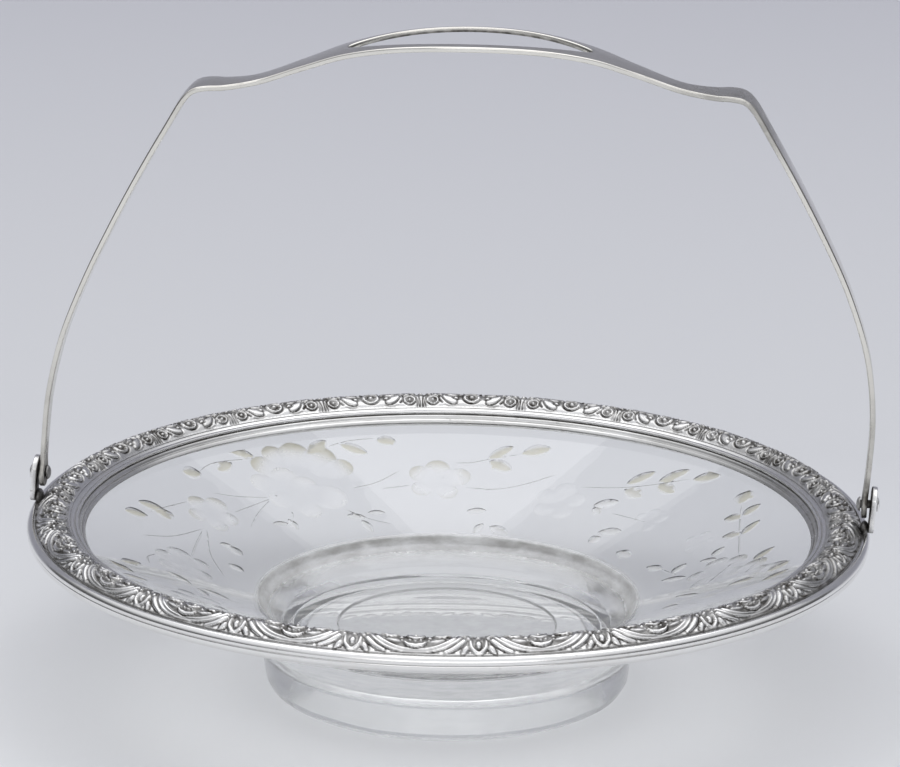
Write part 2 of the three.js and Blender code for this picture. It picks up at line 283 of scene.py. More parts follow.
def ring(name, cad_node, outline, slot, material, dirt=(), right_painted_shade=0.0):
    """A closed ring that stands for a CAD ring. Dark lines run round it in its seams and corners, partly dirt
    and partly painted shade, each with its radius, height, width and strength. Its right side is darker by a
    painted shade."""
    vertices, faces = lathe(outline, closed=True)
    obj = new_object(name, vertices, faces, "dish", slot, material)
    reach, turn = polar(vertices)
    uneven = 0.72 + 0.2 * np.sin(5 * turn + 0.7) + 0.14 * np.sin(13 * turn + 2.0)
    grime_and_shade = np.zeros(len(vertices))
    for radius, height, width, strength in dirt:
        away = np.hypot(reach - radius, vertices[:, 2] - height)
        grime_and_shade = np.maximum(grime_and_shade, strength * uneven * np.clip(1.5 * np.exp(-(away / width) ** 2), 0, 1))
    # Painted shade: the right side is darkened
    mark(obj, "hollow", mix(grime_and_shade, 1.0, right_painted_shade * smoothstep(0.4, 0.9, np.cos(turn))))
    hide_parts(cad_node)


# Materials

def shader(name):
    material = bpy.data.materials.new(name)
    material.use_nodes = True
    tree = material.node_tree
    principled = next(n for n in tree.nodes if n.type == "BSDF_PRINCIPLED")
    return material, tree, principled


def feed(tree, socket, value):
    """Give a socket a link or a fixed value."""
    if isinstance(value, bpy.types.NodeSocket):
        tree.links.new(value, socket)
    else:
        socket.default_value = value


def node(tree, kind, inputs=None, **settings):
    made = tree.nodes.new(kind)
    for key, value in settings.items():
        setattr(made, key, value)
    for key, value in (inputs or {}).items():
        feed(tree, made.inputs[key], value)
    return made


def stored(tree, name):
    """A number that mark has stored on the mesh."""
    return node(tree, "ShaderNodeAttribute", attribute_name=name).outputs["Fac"]


def object_point(tree, scale=(1, 1, 1)):
    """The point on the object in its own frame, scaled."""
    point = node(tree, "ShaderNodeTexCoord").outputs["Object"]
    return node(tree, "ShaderNodeMapping", {"Vector": point, "Scale": scale}).outputs["Vector"]


def noise(tree, point, scale, detail=3.0, roughness=0.55):
    return node(tree, "ShaderNodeTexNoise", {
        "Vector": point, "Scale": scale, "Detail": detail, "Roughness": roughness}).outputs["Fac"]


def ramp(tree, value, low, high, out_low=0.0, out_high=1.0):
    return node(tree, "ShaderNodeMapRange", {"Value": value, "From Min": low, "From Max": high,
                                             "To Min": out_low, "To Max": out_high}).outputs["Result"]


def blend(tree, factor, first, second):
    made = node(tree, "ShaderNodeMix", data_type="RGBA")
    for key, kind, value in (("Factor", "VALUE", factor), ("A", "RGBA", first), ("B", "RGBA", second)):
        feed(tree, next(s for s in made.inputs if s.name == key and s.type == kind), value)
    return next(s for s in made.outputs if s.type == "RGBA")


def maths(tree, operation, first, second=0.0):
    made = node(tree, "ShaderNodeMath", operation=operation)
    feed(tree, made.inputs[0], first)
    feed(tree, made.inputs[1], second)
    return made.outputs[0]


def times(tree, first, second):
    return maths(tree, "MULTIPLY", first, second)


def finish(tree, principled, colour, roughness, bump=None):
    """Colour and roughness of a surface, and its unevenness: a height, its strength and its distance."""
    feed(tree, principled.inputs["Base Color"], colour)
    feed(tree, principled.inputs["Roughness"], roughness)
    if bump:
        uneven = node(tree, "ShaderNodeBump", dict(zip(("Height", "Strength", "Distance"), bump)))
        tree.links.new(uneven.outputs["Normal"], principled.inputs["Normal"])


SILVER = (0.86, 0.855, 0.85, 1.0)
SILVER_WARM = (0.78, 0.765, 0.745, 1.0)
DULL = (0.74, 0.735, 0.725, 1.0)
DULL_WARM = (0.58, 0.57, 0.55, 1.0)
HANDLE_SILVER = (0.83, 0.812, 0.765, 1.0)
HANDLE_WARM = (0.72, 0.695, 0.645, 1.0)
TARNISH_AND_SHADE = (0.07, 0.064, 0.057, 1.0)
CLOUD_SCALE = 90.0
SPOT_SCALE = 420.0
RUB_SCALE = 2600.0


def silver(name, roughness, tarnish, colours=(SILVER, SILVER_WARM)):
    """Old polished silver: cloudy colour, rubbing marks, tarnish in spots, and darkening where it is marked,
    which is partly tarnish and partly painted shade.
    """
    material, tree, principled = shader(name)
    point = object_point(tree)
    cloud = noise(tree, point, CLOUD_SCALE, 4.0)
    spots = noise(tree, point, SPOT_SCALE)
    colour = blend(tree, ramp(tree, cloud, 0.35, 0.75, 0.0, 0.6), *colours)
    colour = blend(tree, times(tree, ramp(tree, spots, 0.66, 0.74), tarnish), colour, TARNISH_AND_SHADE)
    # Where the mesh is marked it darkens: tarnish, and painted shade in gaps, seams and on darker sides
    grime_and_shade = times(tree, stored(tree, "hollow"), ramp(tree, spots, 0.3, 0.62, 0.6, 1.1))
    colour = blend(tree, grime_and_shade, colour, TARNISH_AND_SHADE)
    rough = ramp(tree, cloud, 0.3, 0.7, roughness * 0.75, roughness * 1.35)
    rough = maths(tree, "ADD", rough, times(tree, grime_and_shade, 0.4))
    principled.inputs["Metallic"].default_value = 1.0
    rubbed = noise(tree, object_point(tree, (1.0, 0.12, 1.0)), RUB_SCALE, 2.0)
    finish(tree, principled, colour, rough, (rubbed, 0.06, 0.0001))
    return material


CLEAR = (0.985, 0.99, 0.99, 1.0)
GROUND = (1.0, 1.0, 1.0, 1.0)
GROUND_BROWN = (0.58, 0.53, 0.33, 1.0)
CUT_SHADE = (0.34, 0.32, 0.24, 1.0)
MURKY = (0.47, 0.46, 0.43, 1.0)
DISC_EDGE_SHADE = (0.22, 0.215, 0.20, 1.0)
GLASS_SHADOW = (0.93, 0.93, 0.93, 1.0)
GLASS_INDEX = 1.5
GRAIN_SCALE = 900.0
STREAK_SCALE = 160.0
SMEAR_SCALE = 60.0
WAVE_SCALE = 45.0
PLASTER_DARK = (0.62, 0.58, 0.50, 1.0)
PLASTER_PALE = (0.84, 0.81, 0.74, 1.0)
PLASTER_SCALE = 800.0


def let_lamps_through(tree, principled):
    """Glass that doesn't hold back the lamps' light, so that its shadow on the floor is a pale one."""
    lamp = node(tree, "ShaderNodeLightPath").outputs["Is Shadow Ray"]
    clear = node(tree, "ShaderNodeBsdfTransparent", {"Color": GLASS_SHADOW})
    either = node(tree, "ShaderNodeMixShader", {0: lamp, 1: principled.outputs[0], 2: clear.outputs[0]})
    out = next(n for n in tree.nodes if n.type == "OUTPUT_MATERIAL")
    tree.links.new(either.outputs[0], out.inputs["Surface"])


def cut_glass(name):
    """Clear glass that reads what is marked on it. Frost is where it is ground, brown and shade tint the
    ground glass, haze makes it milky, murk dims it, and a painted shade darkens the well's disc, most at its
    edge."""
    material, tree, principled = shader(name)
    principled.inputs["IOR"].default_value = GLASS_INDEX
    point = object_point(tree)
    grain = noise(tree, point, GRAIN_SCALE)
    streaks = noise(tree, object_point(tree, (1.0, 1.0, 3.0)), STREAK_SCALE, 5.0, 0.7)
    frost = stored(tree, "frost")
    brown = times(tree, stored(tree, "brown"), ramp(tree, grain, 0.2, 0.6, 0.8, 1.0))
    ground = blend(tree, brown, GROUND, GROUND_BROWN)
    ground = blend(tree, times(tree, stored(tree, "shade"), 0.85), ground, CUT_SHADE)
    colour = blend(tree, frost, CLEAR, ground)
    dim = times(tree, stored(tree, "murk"), ramp(tree, streaks, 0.62, 0.36, 0.35, 1.0))
    colour = blend(tree, dim, colour, MURKY)
    # Painted shade: the well's disc is darker, most in a line at the step round its edge
    colour = blend(tree, stored(tree, "disc_shade"), colour, DISC_EDGE_SHADE)
    smear = ramp(tree, noise(tree, point, SMEAR_SCALE), 0.5, 0.8, 0.0, 0.03)
    rough = maths(tree, "ADD", smear, times(tree, frost, ramp(tree, grain, 0.3, 0.7, 0.34, 0.5)))
    haze = times(tree, stored(tree, "haze"), ramp(tree, streaks, 0.36, 0.62, 0.8, 1.0))
    rough = maths(tree, "ADD", rough, times(tree, haze, 0.42))
    finish(tree, principled, colour, rough, (noise(tree, point, WAVE_SCALE, 1.0), 0.04, 0.0006))
    milky = ramp(tree, haze, 0.1, 1.0, 0.0, 0.68)
    clear = maths(tree, "SUBTRACT", ramp(tree, frost, 0.0, 1.0, 1.0, 0.86), milky)
    tree.links.new(clear, principled.inputs["Transmission Weight"])
    let_lamps_through(tree, principled)
    return material


def plaster(name):
    material, tree, principled = shader(name)
    grain = noise(tree, object_point(tree), PLASTER_SCALE)
    finish(tree, principled, blend(tree, grain, PLASTER_DARK, PLASTER_PALE), 0.9)
    return material


# Glass dish

def glass_top(radius):
    share = (radius - FLARE_START[0]) / (GLASS_EDGE[0] - FLARE_START[0])
    return mix(FLARE_START[1], GLASS_EDGE[1], share) - 4 * FLARE_SAG * share * (1 - share)


FLARE_LEAN = math.atan2(GLASS_EDGE[1] - FLARE_START[1], GLASS_EDGE[0] - FLARE_START[0])


def glass_under(radius):
    return glass_top(radius) - GLASS_WALL / math.cos(FLARE_LEAN)


# The cut flowers, in plan as seen from above. A flower: its centre, how strongly it is ground, and its
# petals, each with its centre, width and, where it doesn't point away from the flower's centre, its
# direction in degrees. A leaf: centre, length, direction in degrees, width. A stem: the points along it.
FLOWERS = [
    ((-33.7, 44.8), 1.0, [
        (-40.1, 50.3, 5.4), (-36.0, 52.4, 7.0), (-30.8, 53.3, 7.1), (-26.3, 52.0, 5.2), (-41.6, 45.9, 5.8)]),
    ((-34.0, 39.5), 0.6, [
        (-41.0, 40.4, 5.6), (-37.2, 44.5, 5.9, 110), (-33.0, 43.4, 6.3, 80), (-27.4, 42.2, 7.2, 10),
        (-37.0, 36.8, 5.2), (-31.0, 36.6, 5.4)]),
    ((-49.7, 22.4), 0.8, [
        (-52.0, 25.0, 4.7), (-48.8, 26.9, 4.9), (-51.4, 20.6, 4.4), (-46.0, 23.6, 4.6), (-47.4, 19.8, 4.2)]),
    ((-51.2, -5.6), 0.6, [
        (-53.9, -4.4, 5.6), (-52.4, -0.4, 5.2), (-48.4, -1.2, 4.6), (-52.6, -9.0, 5.6), (-47.4, -6.6, 4.8)]),
    ((-7.0, 53.0), 0.9, [
        (-7.0, 55.9, 5.7), (-2.4, 54.2, 5.2), (-10.4, 54.2, 4.9), (-9.6, 50.0, 4.6), (-4.4, 49.8, 4.6)]),
    ((18.6, 46.0), 0.3, [
        (16.0, 48.0, 4.6), (19.6, 49.2, 4.9), (22.0, 46.0, 4.2), (15.6, 44.4, 4.2), (19.4, 42.8, 4.4)]),
    ((37.5, 34.3), 0.3, [
        (35.8, 36.2, 2.9), (38.2, 36.6, 2.9), (39.8, 34.0, 2.7), (37.2, 32.0, 2.7)]),
    ((47.8, 20.3), 0.3, [
        (46.2, 22.2, 2.9), (48.8, 22.4, 2.9), (49.6, 19.4, 2.6), (46.2, 18.4, 2.7)]),
    ((51.4, 2.4), 0.7, [
        (48.0, 3.6, 4.4), (48.8, -1.8, 4.5), (51.5, 6.9, 4.9), (55.2, 5.0, 4.7), (54.8, -0.8, 4.5)]),
    ((56.0, -3.2), 0.8, [
        (58.9, -0.8, 4.8), (59.4, -5.8, 4.8), (62.7, -7.6, 4.8)]),
]
LEAVES = [
    (-31.9, 56.2, 6.7, 60, 2.7), (-24.5, 58.2, 6.4, -10, 2.7), (-18.2, 62.3, 4.3, 8, 2.7),
    (-46.5, 47.4, 5.6, 7, 2.6), (-54.7, 34.9, 4.2, 30, 3.5), (-48.9, 41.2, 5.0, 65, 2.6),
    (-18.0, 40.6, 3.8, 19, 1.4), (-21.8, 38.1, 4.2, 11, 1.7), (-19.4, 35.9, 4.2, -50, 1.9),
    (-33.7, 29.9, 3.6, -50, 1.7), (-36.1, 28.8, 3.6, 32, 1.3), (-60.1, 15.9, 5.6, 14, 3.0),
    (-57.4, 15.1, 4.4, -45, 3.3), (-62.2, 10.0, 4.8, 29, 3.2), (-43.2, 12.1, 3.9, -30, 2.5),
    (-45.0, 13.0, 2.8, 27, 1.5), (-42.0, 4.7, 3.4, -20, 2.4), (-50.4, -14.7, 5.8, -26, 2.4),
    (-43.2, -15.8, 5.6, -3, 2.4), (-45.4, -18.4, 4.2, -60, 1.8), (-58.9, -18.4, 5.6, 60, 2.6),
    (-59.7, -25.0, 5.4, -20, 2.6), (-56.4, -29.5, 5.4, 40, 2.4), (5.7, 61.6, 6.4, 35, 2.5),
    (5.8, 57.7, 5.9, -30, 3.0), (13.0, 61.8, 6.4, 9, 3.2), (2.0, 44.4, 4.2, 5, 1.6),
    (7.0, 38.5, 5.0, -33, 2.3), (2.8, 39.2, 3.6, 60, 1.6), (35.0, 49.3, 6.6, 20, 2.6),
    (33.6, 44.9, 5.4, -46, 2.9), (41.7, 47.6, 6.9, 14, 2.7), (40.2, 44.0, 5.8, -50, 2.7),
    (48.4, 44.2, 6.2, -12, 3.0), (28.3, 43.2, 5.6, -2, 2.4), (26.5, 41.4, 3.0, -60, 2.0),
    (29.6, 33.5, 5.4, -18, 2.3), (26.7, 31.9, 2.8, 25, 2.6), (32.9, 24.3, 4.5, -47, 2.4),
    (56.0, 32.7, 4.6, 66, 3.8), (57.6, 26.6, 4.4, 40, 2.6), (54.0, 25.7, 3.9, 150, 2.8),
    (57.6, 19.1, 5.4, 50, 2.2), (53.9, 18.4, 3.9, 150, 2.7), (39.3, 14.9, 4.7, -47, 1.9),
    (44.2, 11.0, 4.0, 50, 2.2), (43.4, 6.6, 5.6, -28, 1.9), (49.8, 10.3, 3.9, -32, 1.7),
    (51.6, 12.9, 3.8, 56, 2.0), (60.4, 3.4, 5.4, 42, 2.4), (46.4, -6.6, 6.4, -44, 1.6),
    (43.3, -11.0, 3.6, -34, 2.0), (56.4, -9.8, 5.3, -12, 2.6), (63.2, -8.6, 5.0, 30, 3.0),
    (62.7, -14.6, 5.4, 20, 2.8),
]
STEMS = [
    [(-50.2, 30.7), (-45.7, 32.5), (-38.9, 36.4)], [(-45.4, 26.3), (-42.1, 31.4), (-38.8, 36.2)],
    [(-41.5, 23.0), (-40.7, 29.2), (-38.9, 35.9)], [(-24.1, 46.1), (-18.8, 49.7), (-14.4, 54.5)],
    [(-17.9, 48.0), (-12.0, 50.4)], [(-60.1, 13.0), (-57.7, 17.7), (-54.0, 24.0)],
    [(-60.0, 0.5), (-54.7, 6.7), (-49.8, 15.9)], [(-49.9, 15.2), (-50.2, 7.6), (-50.2, 0.3)],
    [(-49.3, 16.4), (-47.2, 5.9), (-43.2, -2.7)], [(-53.5, 36.3), (-50.8, 41.4), (-43.7, 47.3)],
    [(-30.0, 57.1), (-25.7, 60.3), (-20.2, 62.7)], [(-24.4, 39.6), (-19.3, 38.3), (-14.5, 38.1)],
    [(-34.6, 34.0), (-34.2, 33.3), (-34.0, 30.4)], [(-56.1, -14.0), (-57.0, -10.0), (-56.0, -6.1)],
    [(-4.1, 58.2), (-0.1, 58.5), (3.3, 59.6), (6.7, 60.3), (10.1, 61.2)],
    [(-1.2, 51.3), (5.1, 50.8), (11.3, 52.1), (18.2, 54.7)],
    [(22.2, 49.9), (31.3, 47.4), (38.1, 46.2), (45.4, 45.2)], [(55.6, 30.6), (55.5, 21.8), (55.7, 6.3)],
    [(29.5, 39.8), (33.0, 37.1), (37.0, 33.7)], [(40.8, 13.2), (43.9, 8.1)], [(57.1, -4.8), (61.2, 3.4)],
    [(49.5, -3.8), (54.6, 3.9), (57.8, 3.3)],
]
PETAL_DEPTH = 0.12
PETAL_WALL = 1.7
PETAL_TAIL = 1.9
LEAF_DEPTH = 0.2
LEAF_RIDGE = 0.26
LEAF_WIDENING = 1.24
STEM_WIDTH = 0.36

# Through the glass, a cut shows a little nearer to the viewer and to the middle than it lies
SEEN_SPREAD = 1.015
SEEN_SHIFT = 2.1
# At the front, which the photo hides, the plants between two angles are repeated, turned by a third angle
REPEATED_FROM = 62
REPEATED_TO = 196
REPEATED_TURN = 140
# The cuts' brown tint grows over this stretch of the radius
BROWN_FROM = 53.0
BROWN_TO = 61.5


def to_underside(points, turn):
    """Where cuts that show at plan points through the glass lie on its underside, turned about the axis."""
    points = np.atleast_2d(np.asarray(points, dtype=float)) * (SEEN_SPREAD, 1.0) + (0.0, SEEN_SHIFT)
    turn = math.radians(turn)
    return points @ np.array([[math.cos(turn), math.sin(turn)], [-math.sin(turn), math.cos(turn)]])


class Cut:
    """A cut with a centre and an axis. Its points lie along the axis and across it."""

    def __init__(self, centre, direction):
        self.centre = centre
        self.axis = np.array([math.cos(direction), math.sin(direction)])
        self.side = to_left(self.axis)

    def split(self, points):
        """How far points lie along the axis and across it."""
        offset = points - self.centre
        return offset @ self.axis, offset @ self.side

    def place(self, along, across):
        return self.centre + np.outer(along, self.axis) + np.outer(across, self.side)


class Petal(Cut):
    """A scoop that is steep at its round outer end and runs out towards its flower's centre."""

    def __init__(self, centre, direction, width, strength):
        super().__init__(centre, direction)
        self.strength = strength
        self.half = width / 2
        self.tail = self.half * PETAL_TAIL

    def spread(self, along):
        """Half width at a distance along the petal's axis from the middle of its round end."""
        end = np.sqrt(np.maximum(1 - (np.maximum(along, 0) / self.half) ** 2, 0))
        root = 1 - 0.45 * (np.maximum(-along, 0) / self.tail) ** 2
        return self.half * end * root

    def depth(self, points):
        """Depth of the cut, how far it hides cuts under it, how far it is ground, browned and shaded."""
        along, across = self.split(points)
        from_side = self.spread(along) - np.abs(across)
        from_end = self.half - np.hypot(np.maximum(along, 0), across)
        from_edge = np.where(along > 0, from_end, from_side)
        fade = np.clip((along + self.tail) / (self.tail + 0.6 * self.half), 0, 1)
        wall = np.clip(from_edge / PETAL_WALL, 0, 1)
        depth = PETAL_DEPTH * (0.4 + 0.6 * self.strength) * (1 - (1 - wall) ** 2) * fade ** 1.3
        outer = smoothstep(-0.8, 0.9, along / self.half)
        cover = np.clip(from_edge / 0.15, 0, 1) * smoothstep(0.0, 0.55, fade)
        frost = self.strength * cover * fade * (0.5 + 0.5 * outer)
        brown = smoothstep(-0.9, 0.9, along / self.half) * smoothstep(0.5, 0.8, self.strength)
        inward = np.maximum(from_edge, 0)
        shade = 0.8 * np.exp(-inward / 0.45) + 0.26 * np.exp(-inward / 1.5)
        shade *= self.strength * smoothstep(0.3, 0.8, fade)
        inside = (from_edge > 0) & (along > -self.tail)
        return [np.where(inside, values, 0.0) for values in (depth, cover, frost, brown, shade)]

    def outline(self, share=1.0):
        """Points round the petal at a share of its width."""
        end = arc(self.half * share, np.linspace(-math.pi / 2, math.pi / 2, 17))
        back = np.linspace(0, -self.tail * 0.96, 8)[1:]
        across = self.spread(back) * share
        return self.place(np.concatenate([end[:, 0], back, back[::-1]]),
                          np.concatenate([end[:, 1], across, -across[::-1]]))

    def inner_points(self):
        return np.vstack([self.outline(share) for share in (0.9, 0.76, 0.56, 0.3)])


class Leaf(Cut):
    """A pointed mitre cut: one facet is narrow and steep, the other one wide."""

    def __init__(self, centre, direction, length, width):
        super().__init__(centre, direction)
        self.half_length, self.half_width = length / 2, width * LEAF_WIDENING / 2

    def spread(self, along):
        share = np.clip(along / self.half_length, -1, 1)
        return self.half_width * (1 - share * share) ** 0.85

    def depth(self, points):
        """The same five values as a petal's."""
        along, across = self.split(points)
        width = np.maximum(self.spread(along), 1e-6)
        share = across / width
        facet = np.minimum((1 + share) / (1 + LEAF_RIDGE), (1 - share) / (1 - LEAF_RIDGE))
        depth = LEAF_DEPTH * np.clip(facet, 0, 1) * np.sqrt(width / self.half_width)
        inside = (np.abs(along) < self.half_length) & (facet > 0)
        ground = np.clip((1 - np.abs(share)) * width / 0.12, 0, 1)
        edge = np.maximum(1 - np.abs(share), 0) * width
        far_facet = smoothstep(LEAF_RIDGE - 0.08, LEAF_RIDGE + 0.08, share)
        shade = np.maximum(far_facet, 0.45 * np.exp(-edge / 0.2)) * ground
        return [np.where(inside, values, 0.0) for values in (depth, ground, 0.9 * ground, ground, shade)]

    def line(self, share):
        """Points from end to end at a share of the width."""
        along = np.linspace(-1, 1, 13) * self.half_length
        return self.place(along, share * self.spread(along))

    def outline(self):
        return np.vstack([self.line(1.0), self.line(-1.0)[-2:0:-1]])

    def inner_points(self):
        return np.vstack([self.line(LEAF_RIDGE)[1:-1], self.line(-0.4)[2:-2]])


class Stem:
    """A thin V cut along a smooth line."""

    def __init__(self, points):
        self.points = smooth_line(points, 0.9)
        share = np.linspace(0, 1, len(self.points))
        self.widths = STEM_WIDTH * np.clip(np.minimum(share, 1 - share) * 7, 0.05, 1)

    def depth(self, points):
        """The same five values as a petal's."""
        best = np.zeros(len(points))
        for start, end, low, high in zip(self.points, self.points[1:], self.widths, self.widths[1:]):
            distance, share = to_segment(points, start, end)
            half = mix(low, high, share) / 2
            best = np.maximum(best, np.clip(1 - distance / half, 0, 1) * half)
        ground = np.clip(best / 0.08, 0, 1)
        return best * 0.5, ground, ground * 0.5, ground * 0.5, ground * 0.5

    def outline(self):
        aside = line_normals(self.points) * self.widths[:, None] / 2
        return np.vstack([self.points + aside, (self.points - aside)[::-1]])

    def inner_points(self):
        return self.points[1:-1]


def cut_shapes():
    """All cuts: the ones the photo shows, and the repeated ones at the front."""
    def build(turn, keep):
        made = []
        for heart, strength, petals in FLOWERS:
            for x, y, width, *given in petals:
                direction = math.radians(given[0]) if given else math.atan2(y - heart[1], x - heart[0])
                if keep(x, y):
                    centre = to_underside((x, y), turn)[0]
                    made.append(Petal(centre, direction + math.radians(turn), width, strength))
        for x, y, length, direction, width in LEAVES:
            if keep(x, y):
                centre = to_underside((x, y), turn)[0]
                made.append(Leaf(centre, math.radians(direction + turn), length, width))
        for points in STEMS:
            if all(keep(x, y) for x, y in points):
                made.append(Stem(to_underside(points, turn)))
        return made

    def repeated(x, y):
        return REPEATED_FROM <= math.degrees(math.atan2(y, x)) % 360 <= REPEATED_TO

    return build(0, lambda x, y: True) + build(REPEATED_TURN, repeated)


def engraved_underside():
    """The flare's underside with its cuts: vertices, faces, how far each vertex is ground, browned and
    shaded, and whether each face lies in a cut."""
    shapes = cut_shapes()
    sheet = Sheet()
    for radius in (ENGRAVED_INNER, ENGRAVED_OUTER):
        sheet.loop(arc(radius, np.arange(ROUND_STEPS) * (2 * math.pi / ROUND_STEPS)))

    def scatter_within(points):
        radius = lengths(points)
        inside = (radius > ENGRAVED_INNER + POINT_MARGIN) & (radius < ENGRAVED_OUTER - POINT_MARGIN)
        sheet.scatter(points[inside])

    for shape in shapes:
        outline = shape.outline()
        radius = lengths(outline)
        limit = np.clip(radius, ENGRAVED_INNER + CUT_MARGIN, ENGRAVED_OUTER - CUT_MARGIN)
        sheet.loop(outline * (limit / radius)[:, None])
        scatter_within(shape.inner_points())
    steps = ROUND_STEPS // 2
    for i, radius in enumerate(np.linspace(ENGRAVED_INNER, ENGRAVED_OUTER, 19)[1:-1]):
        scatter_within(arc(radius, (np.arange(steps) + 0.5 * (i % 2)) * (2 * math.pi / steps)))
    flat, faces = sheet.triangles(1e-5)
    # Leave out the triangles that fill the inner circle
    middle = ENGRAVED_INNER * math.cos(math.pi / ROUND_STEPS) - 0.002
    faces = faces[lengths(flat[faces].mean(axis=1)) > middle]
    centres = flat[faces].mean(axis=1)
    depth, frost, brown, shade = np.zeros((4, len(flat)))
    in_cut = np.zeros(len(faces), dtype=bool)
    for shape in shapes:
        cut, cover, *looks = shape.depth(flat)
        depth = np.maximum(depth, cut)
        frost, brown, shade = (mix(old, new, cover) for old, new in zip((frost, brown, shade), looks))
        in_cut |= shape.depth(centres)[0] > 1e-4
    radius = lengths(flat)
    brown *= smoothstep(BROWN_FROM, BROWN_TO, radius)
    vertices = np.column_stack([flat, glass_under(radius) + depth])
    return vertices, faces, {"frost": frost, "brown": brown, "shade": shade}, in_cut


# Sections of the plain parts, from corner to corner: radius, height and how far the corner is rounded
WELL_LEVEL = 11.0
FLARE_LOW = 37.4
FLARE_HIGH = 73.6
WELL_CORNERS = [
    (0, 11.25, 0), (20.8, 11.25, 0), (20.95, 11.25, 0.08), (21.2, 11.6, 0.08), (21.35, 11.6, 0),
    (29.6, 11.6, 1.2), (31.55, 12.5, 0.1), (31.75, 12.78, 0.14), (34.7, 14.9, 0.3), (36.4, 17.4, 1.3),
    (FLARE_LOW, glass_top(FLARE_LOW), 0),
]
GLASS_RIM = [GLASS_EDGE, (74.7, 32.6), (74.83, 31.8), (74.4, 30.9)]
FOOT_CORNERS = [
    (ENGRAVED_INNER, glass_under(ENGRAVED_INNER), 0), (36.45, glass_under(36.45), 4.6), (35.93, 8.62, 2),
    (35.43, 4.73, 2), (35.06, 2.08, 2), (34.32, 0.63, 0.8), (33.2, 0.0, 0.6), (30.0, 0.0, 0.7),
    (29.44, 0.9, 1.6), (28.6, 5.9, 1.2), (27.1, 7.4, 1.2), (0, 7.4, 0),
]
# Where haze and the disc's painted shade lie, as distances from the axis
RECESS_REACH = 28.0
FOOT_INNER = 29.6
FOOT_REACH = 39.0
DISC_REACH = 20.85
DISC_EDGE_RING = (20.82, 20.92, 21.23, 21.33)
STEP_RING = (34.2, 34.9, 36.3, 37.3)
# Slight waves in the foot's walls: their height, number round the foot, twist with the level, and phase
FOOT_WAVES = ((0.10, 3, 0.35, 0.6), (0.06, 7, -0.5, 2.1), (0.04, 13, 0.9, 0.0))


def ripple_foot(points):
    """Move the foot's points by the waves that pressing and fire polishing leave in its walls."""
    reach, turn = polar(points)
    level = points[:, 2]
    wave = 0.0
    for size, count, twist, phase in FOOT_WAVES:
        wave = wave + size * np.sin(count * turn + twist * level + phase)
    wave *= smoothstep(14.5, WELL_LEVEL, level) * smoothstep(24.0, 27.0, reach)
    points[:, :2] *= 1 + (wave / np.maximum(reach, 1.0))[:, None]


def plain_looks(points):
    """Haze, murk and painted shade where there are no cuts. The well's upper step is milky and dim, the foot
    is milky, most in its recess and at its bottom, and a painted shade darkens the well's disc, most in a
    line at the step round its edge."""
    reach, _ = polar(points)
    level = points[:, 2]
    inner = (level > WELL_LEVEL) & (reach < 37.6) & (level > glass_under(reach) + 1.0)
    step = inner * between(STEP_RING, reach)
    foot = ~inner & (level < WELL_LEVEL) & (reach < FOOT_REACH)
    wall = np.maximum(0.12, 0.55 * smoothstep(1.2, 0.3, level))
    foot_haze = np.where(reach < RECESS_REACH, 0.6, np.where(reach < FOOT_INNER, 0.4, wall))
    # Painted shade: a dark line at the step round the well's disc, and a lighter one over the disc
    disc_shade = np.maximum(0.7 * between(DISC_EDGE_RING, reach), 0.2 * (reach < DISC_REACH))
    return {"haze": np.where(foot, foot_haze, step), "murk": 0.9 * step, "disc_shade": inner * disc_shade}


def engraved_dish(glass):
    upper = [tuple(p) for p in rounded(WELL_CORNERS, 5)]
    upper += [(r, glass_top(r)) for r in np.linspace(FLARE_LOW, FLARE_HIGH, 22)[1:]] + GLASS_RIM
    upper += [(r, glass_under(r)) for r in (GLASS_EDGE[0], 72.8, 71.6, 70.4, ENGRAVED_OUTER)]
    bowl, bowl_faces = lathe(upper)
    foot, foot_faces = lathe(rounded(FOOT_CORNERS, 8))
    ripple_foot(foot)
    plain = np.vstack([bowl, foot])
    plain_faces = bowl_faces + shifted(foot_faces, len(bowl))
    cut, cut_faces, cut_looks, in_cut = engraved_underside()
    faces = plain_faces + shifted(cut_faces[:, ::-1], len(plain))
    obj = new_object("cut_glass_dish", np.vstack([plain, cut]), faces, "dish", "clear_glass", glass, 60)
    for name, values in cut_looks.items():
        mark(obj, name, np.concatenate([np.zeros(len(plain)), values]))
    for name, values in plain_looks(plain).items():
        mark(obj, name, np.concatenate([values, np.zeros(len(cut))]))
    kind = obj.data.attributes.new("in_cut", "INT", "FACE")
    kind.data.foreach_set("value", np.concatenate([np.zeros(len(plain_faces)), in_cut]).astype(np.int32))
    # Close the seams between the parts and keep the cuts' edges sharp
    bm = bmesh.new()
    bm.from_mesh(obj.data)
    bmesh.ops.remove_doubles(bm, verts=bm.verts, dist=0.02 * MM)
    bmesh.ops.recalc_face_normals(bm, faces=bm.faces)
    layer = bm.faces.layers.int["in_cut"]
    for edge in bm.edges:
        if len({face[layer] for face in edge.link_faces}) > 1:
            edge.smooth = False
    bm.to_mesh(obj.data)
    bm.free()
    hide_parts("glass_dish")


# Silver rim

MOTIFS = 22
MOTIF_PHASE = 0.8
PHASE_DRIFT = 0.3
MOTIF_HALF = 10.8
MOTIF_COLUMNS = 92
BAND_OUTLINE = [(72.2, 33.7), (73.18, 34.835), (74.405, 35.548), (75.70, 35.8), (77.006, 35.43),
                (78.02, 34.653), (78.6, 33.95), (78.95, 33.62)]
BAND_ROWS = 46
LINE_WIDTH = 0.21
LINE_DEPTH = 0.3
RELIEF_BASE = 0.22
RELIEF_GROUND = 0.42
BAND_SKIN = 0.6


def band_section():
    """Points of the band's plain surface from the inside out, their outward directions and run lengths."""
    line = smooth_line(BAND_OUTLINE, 0.1)
    run = run_along(line)
    place = np.linspace(0, run[-1], BAND_ROWS)
    points = np.stack([np.interp(place, run, line[:, k]) for k in (0, 1)], axis=1)
    return points, line_normals(points), place


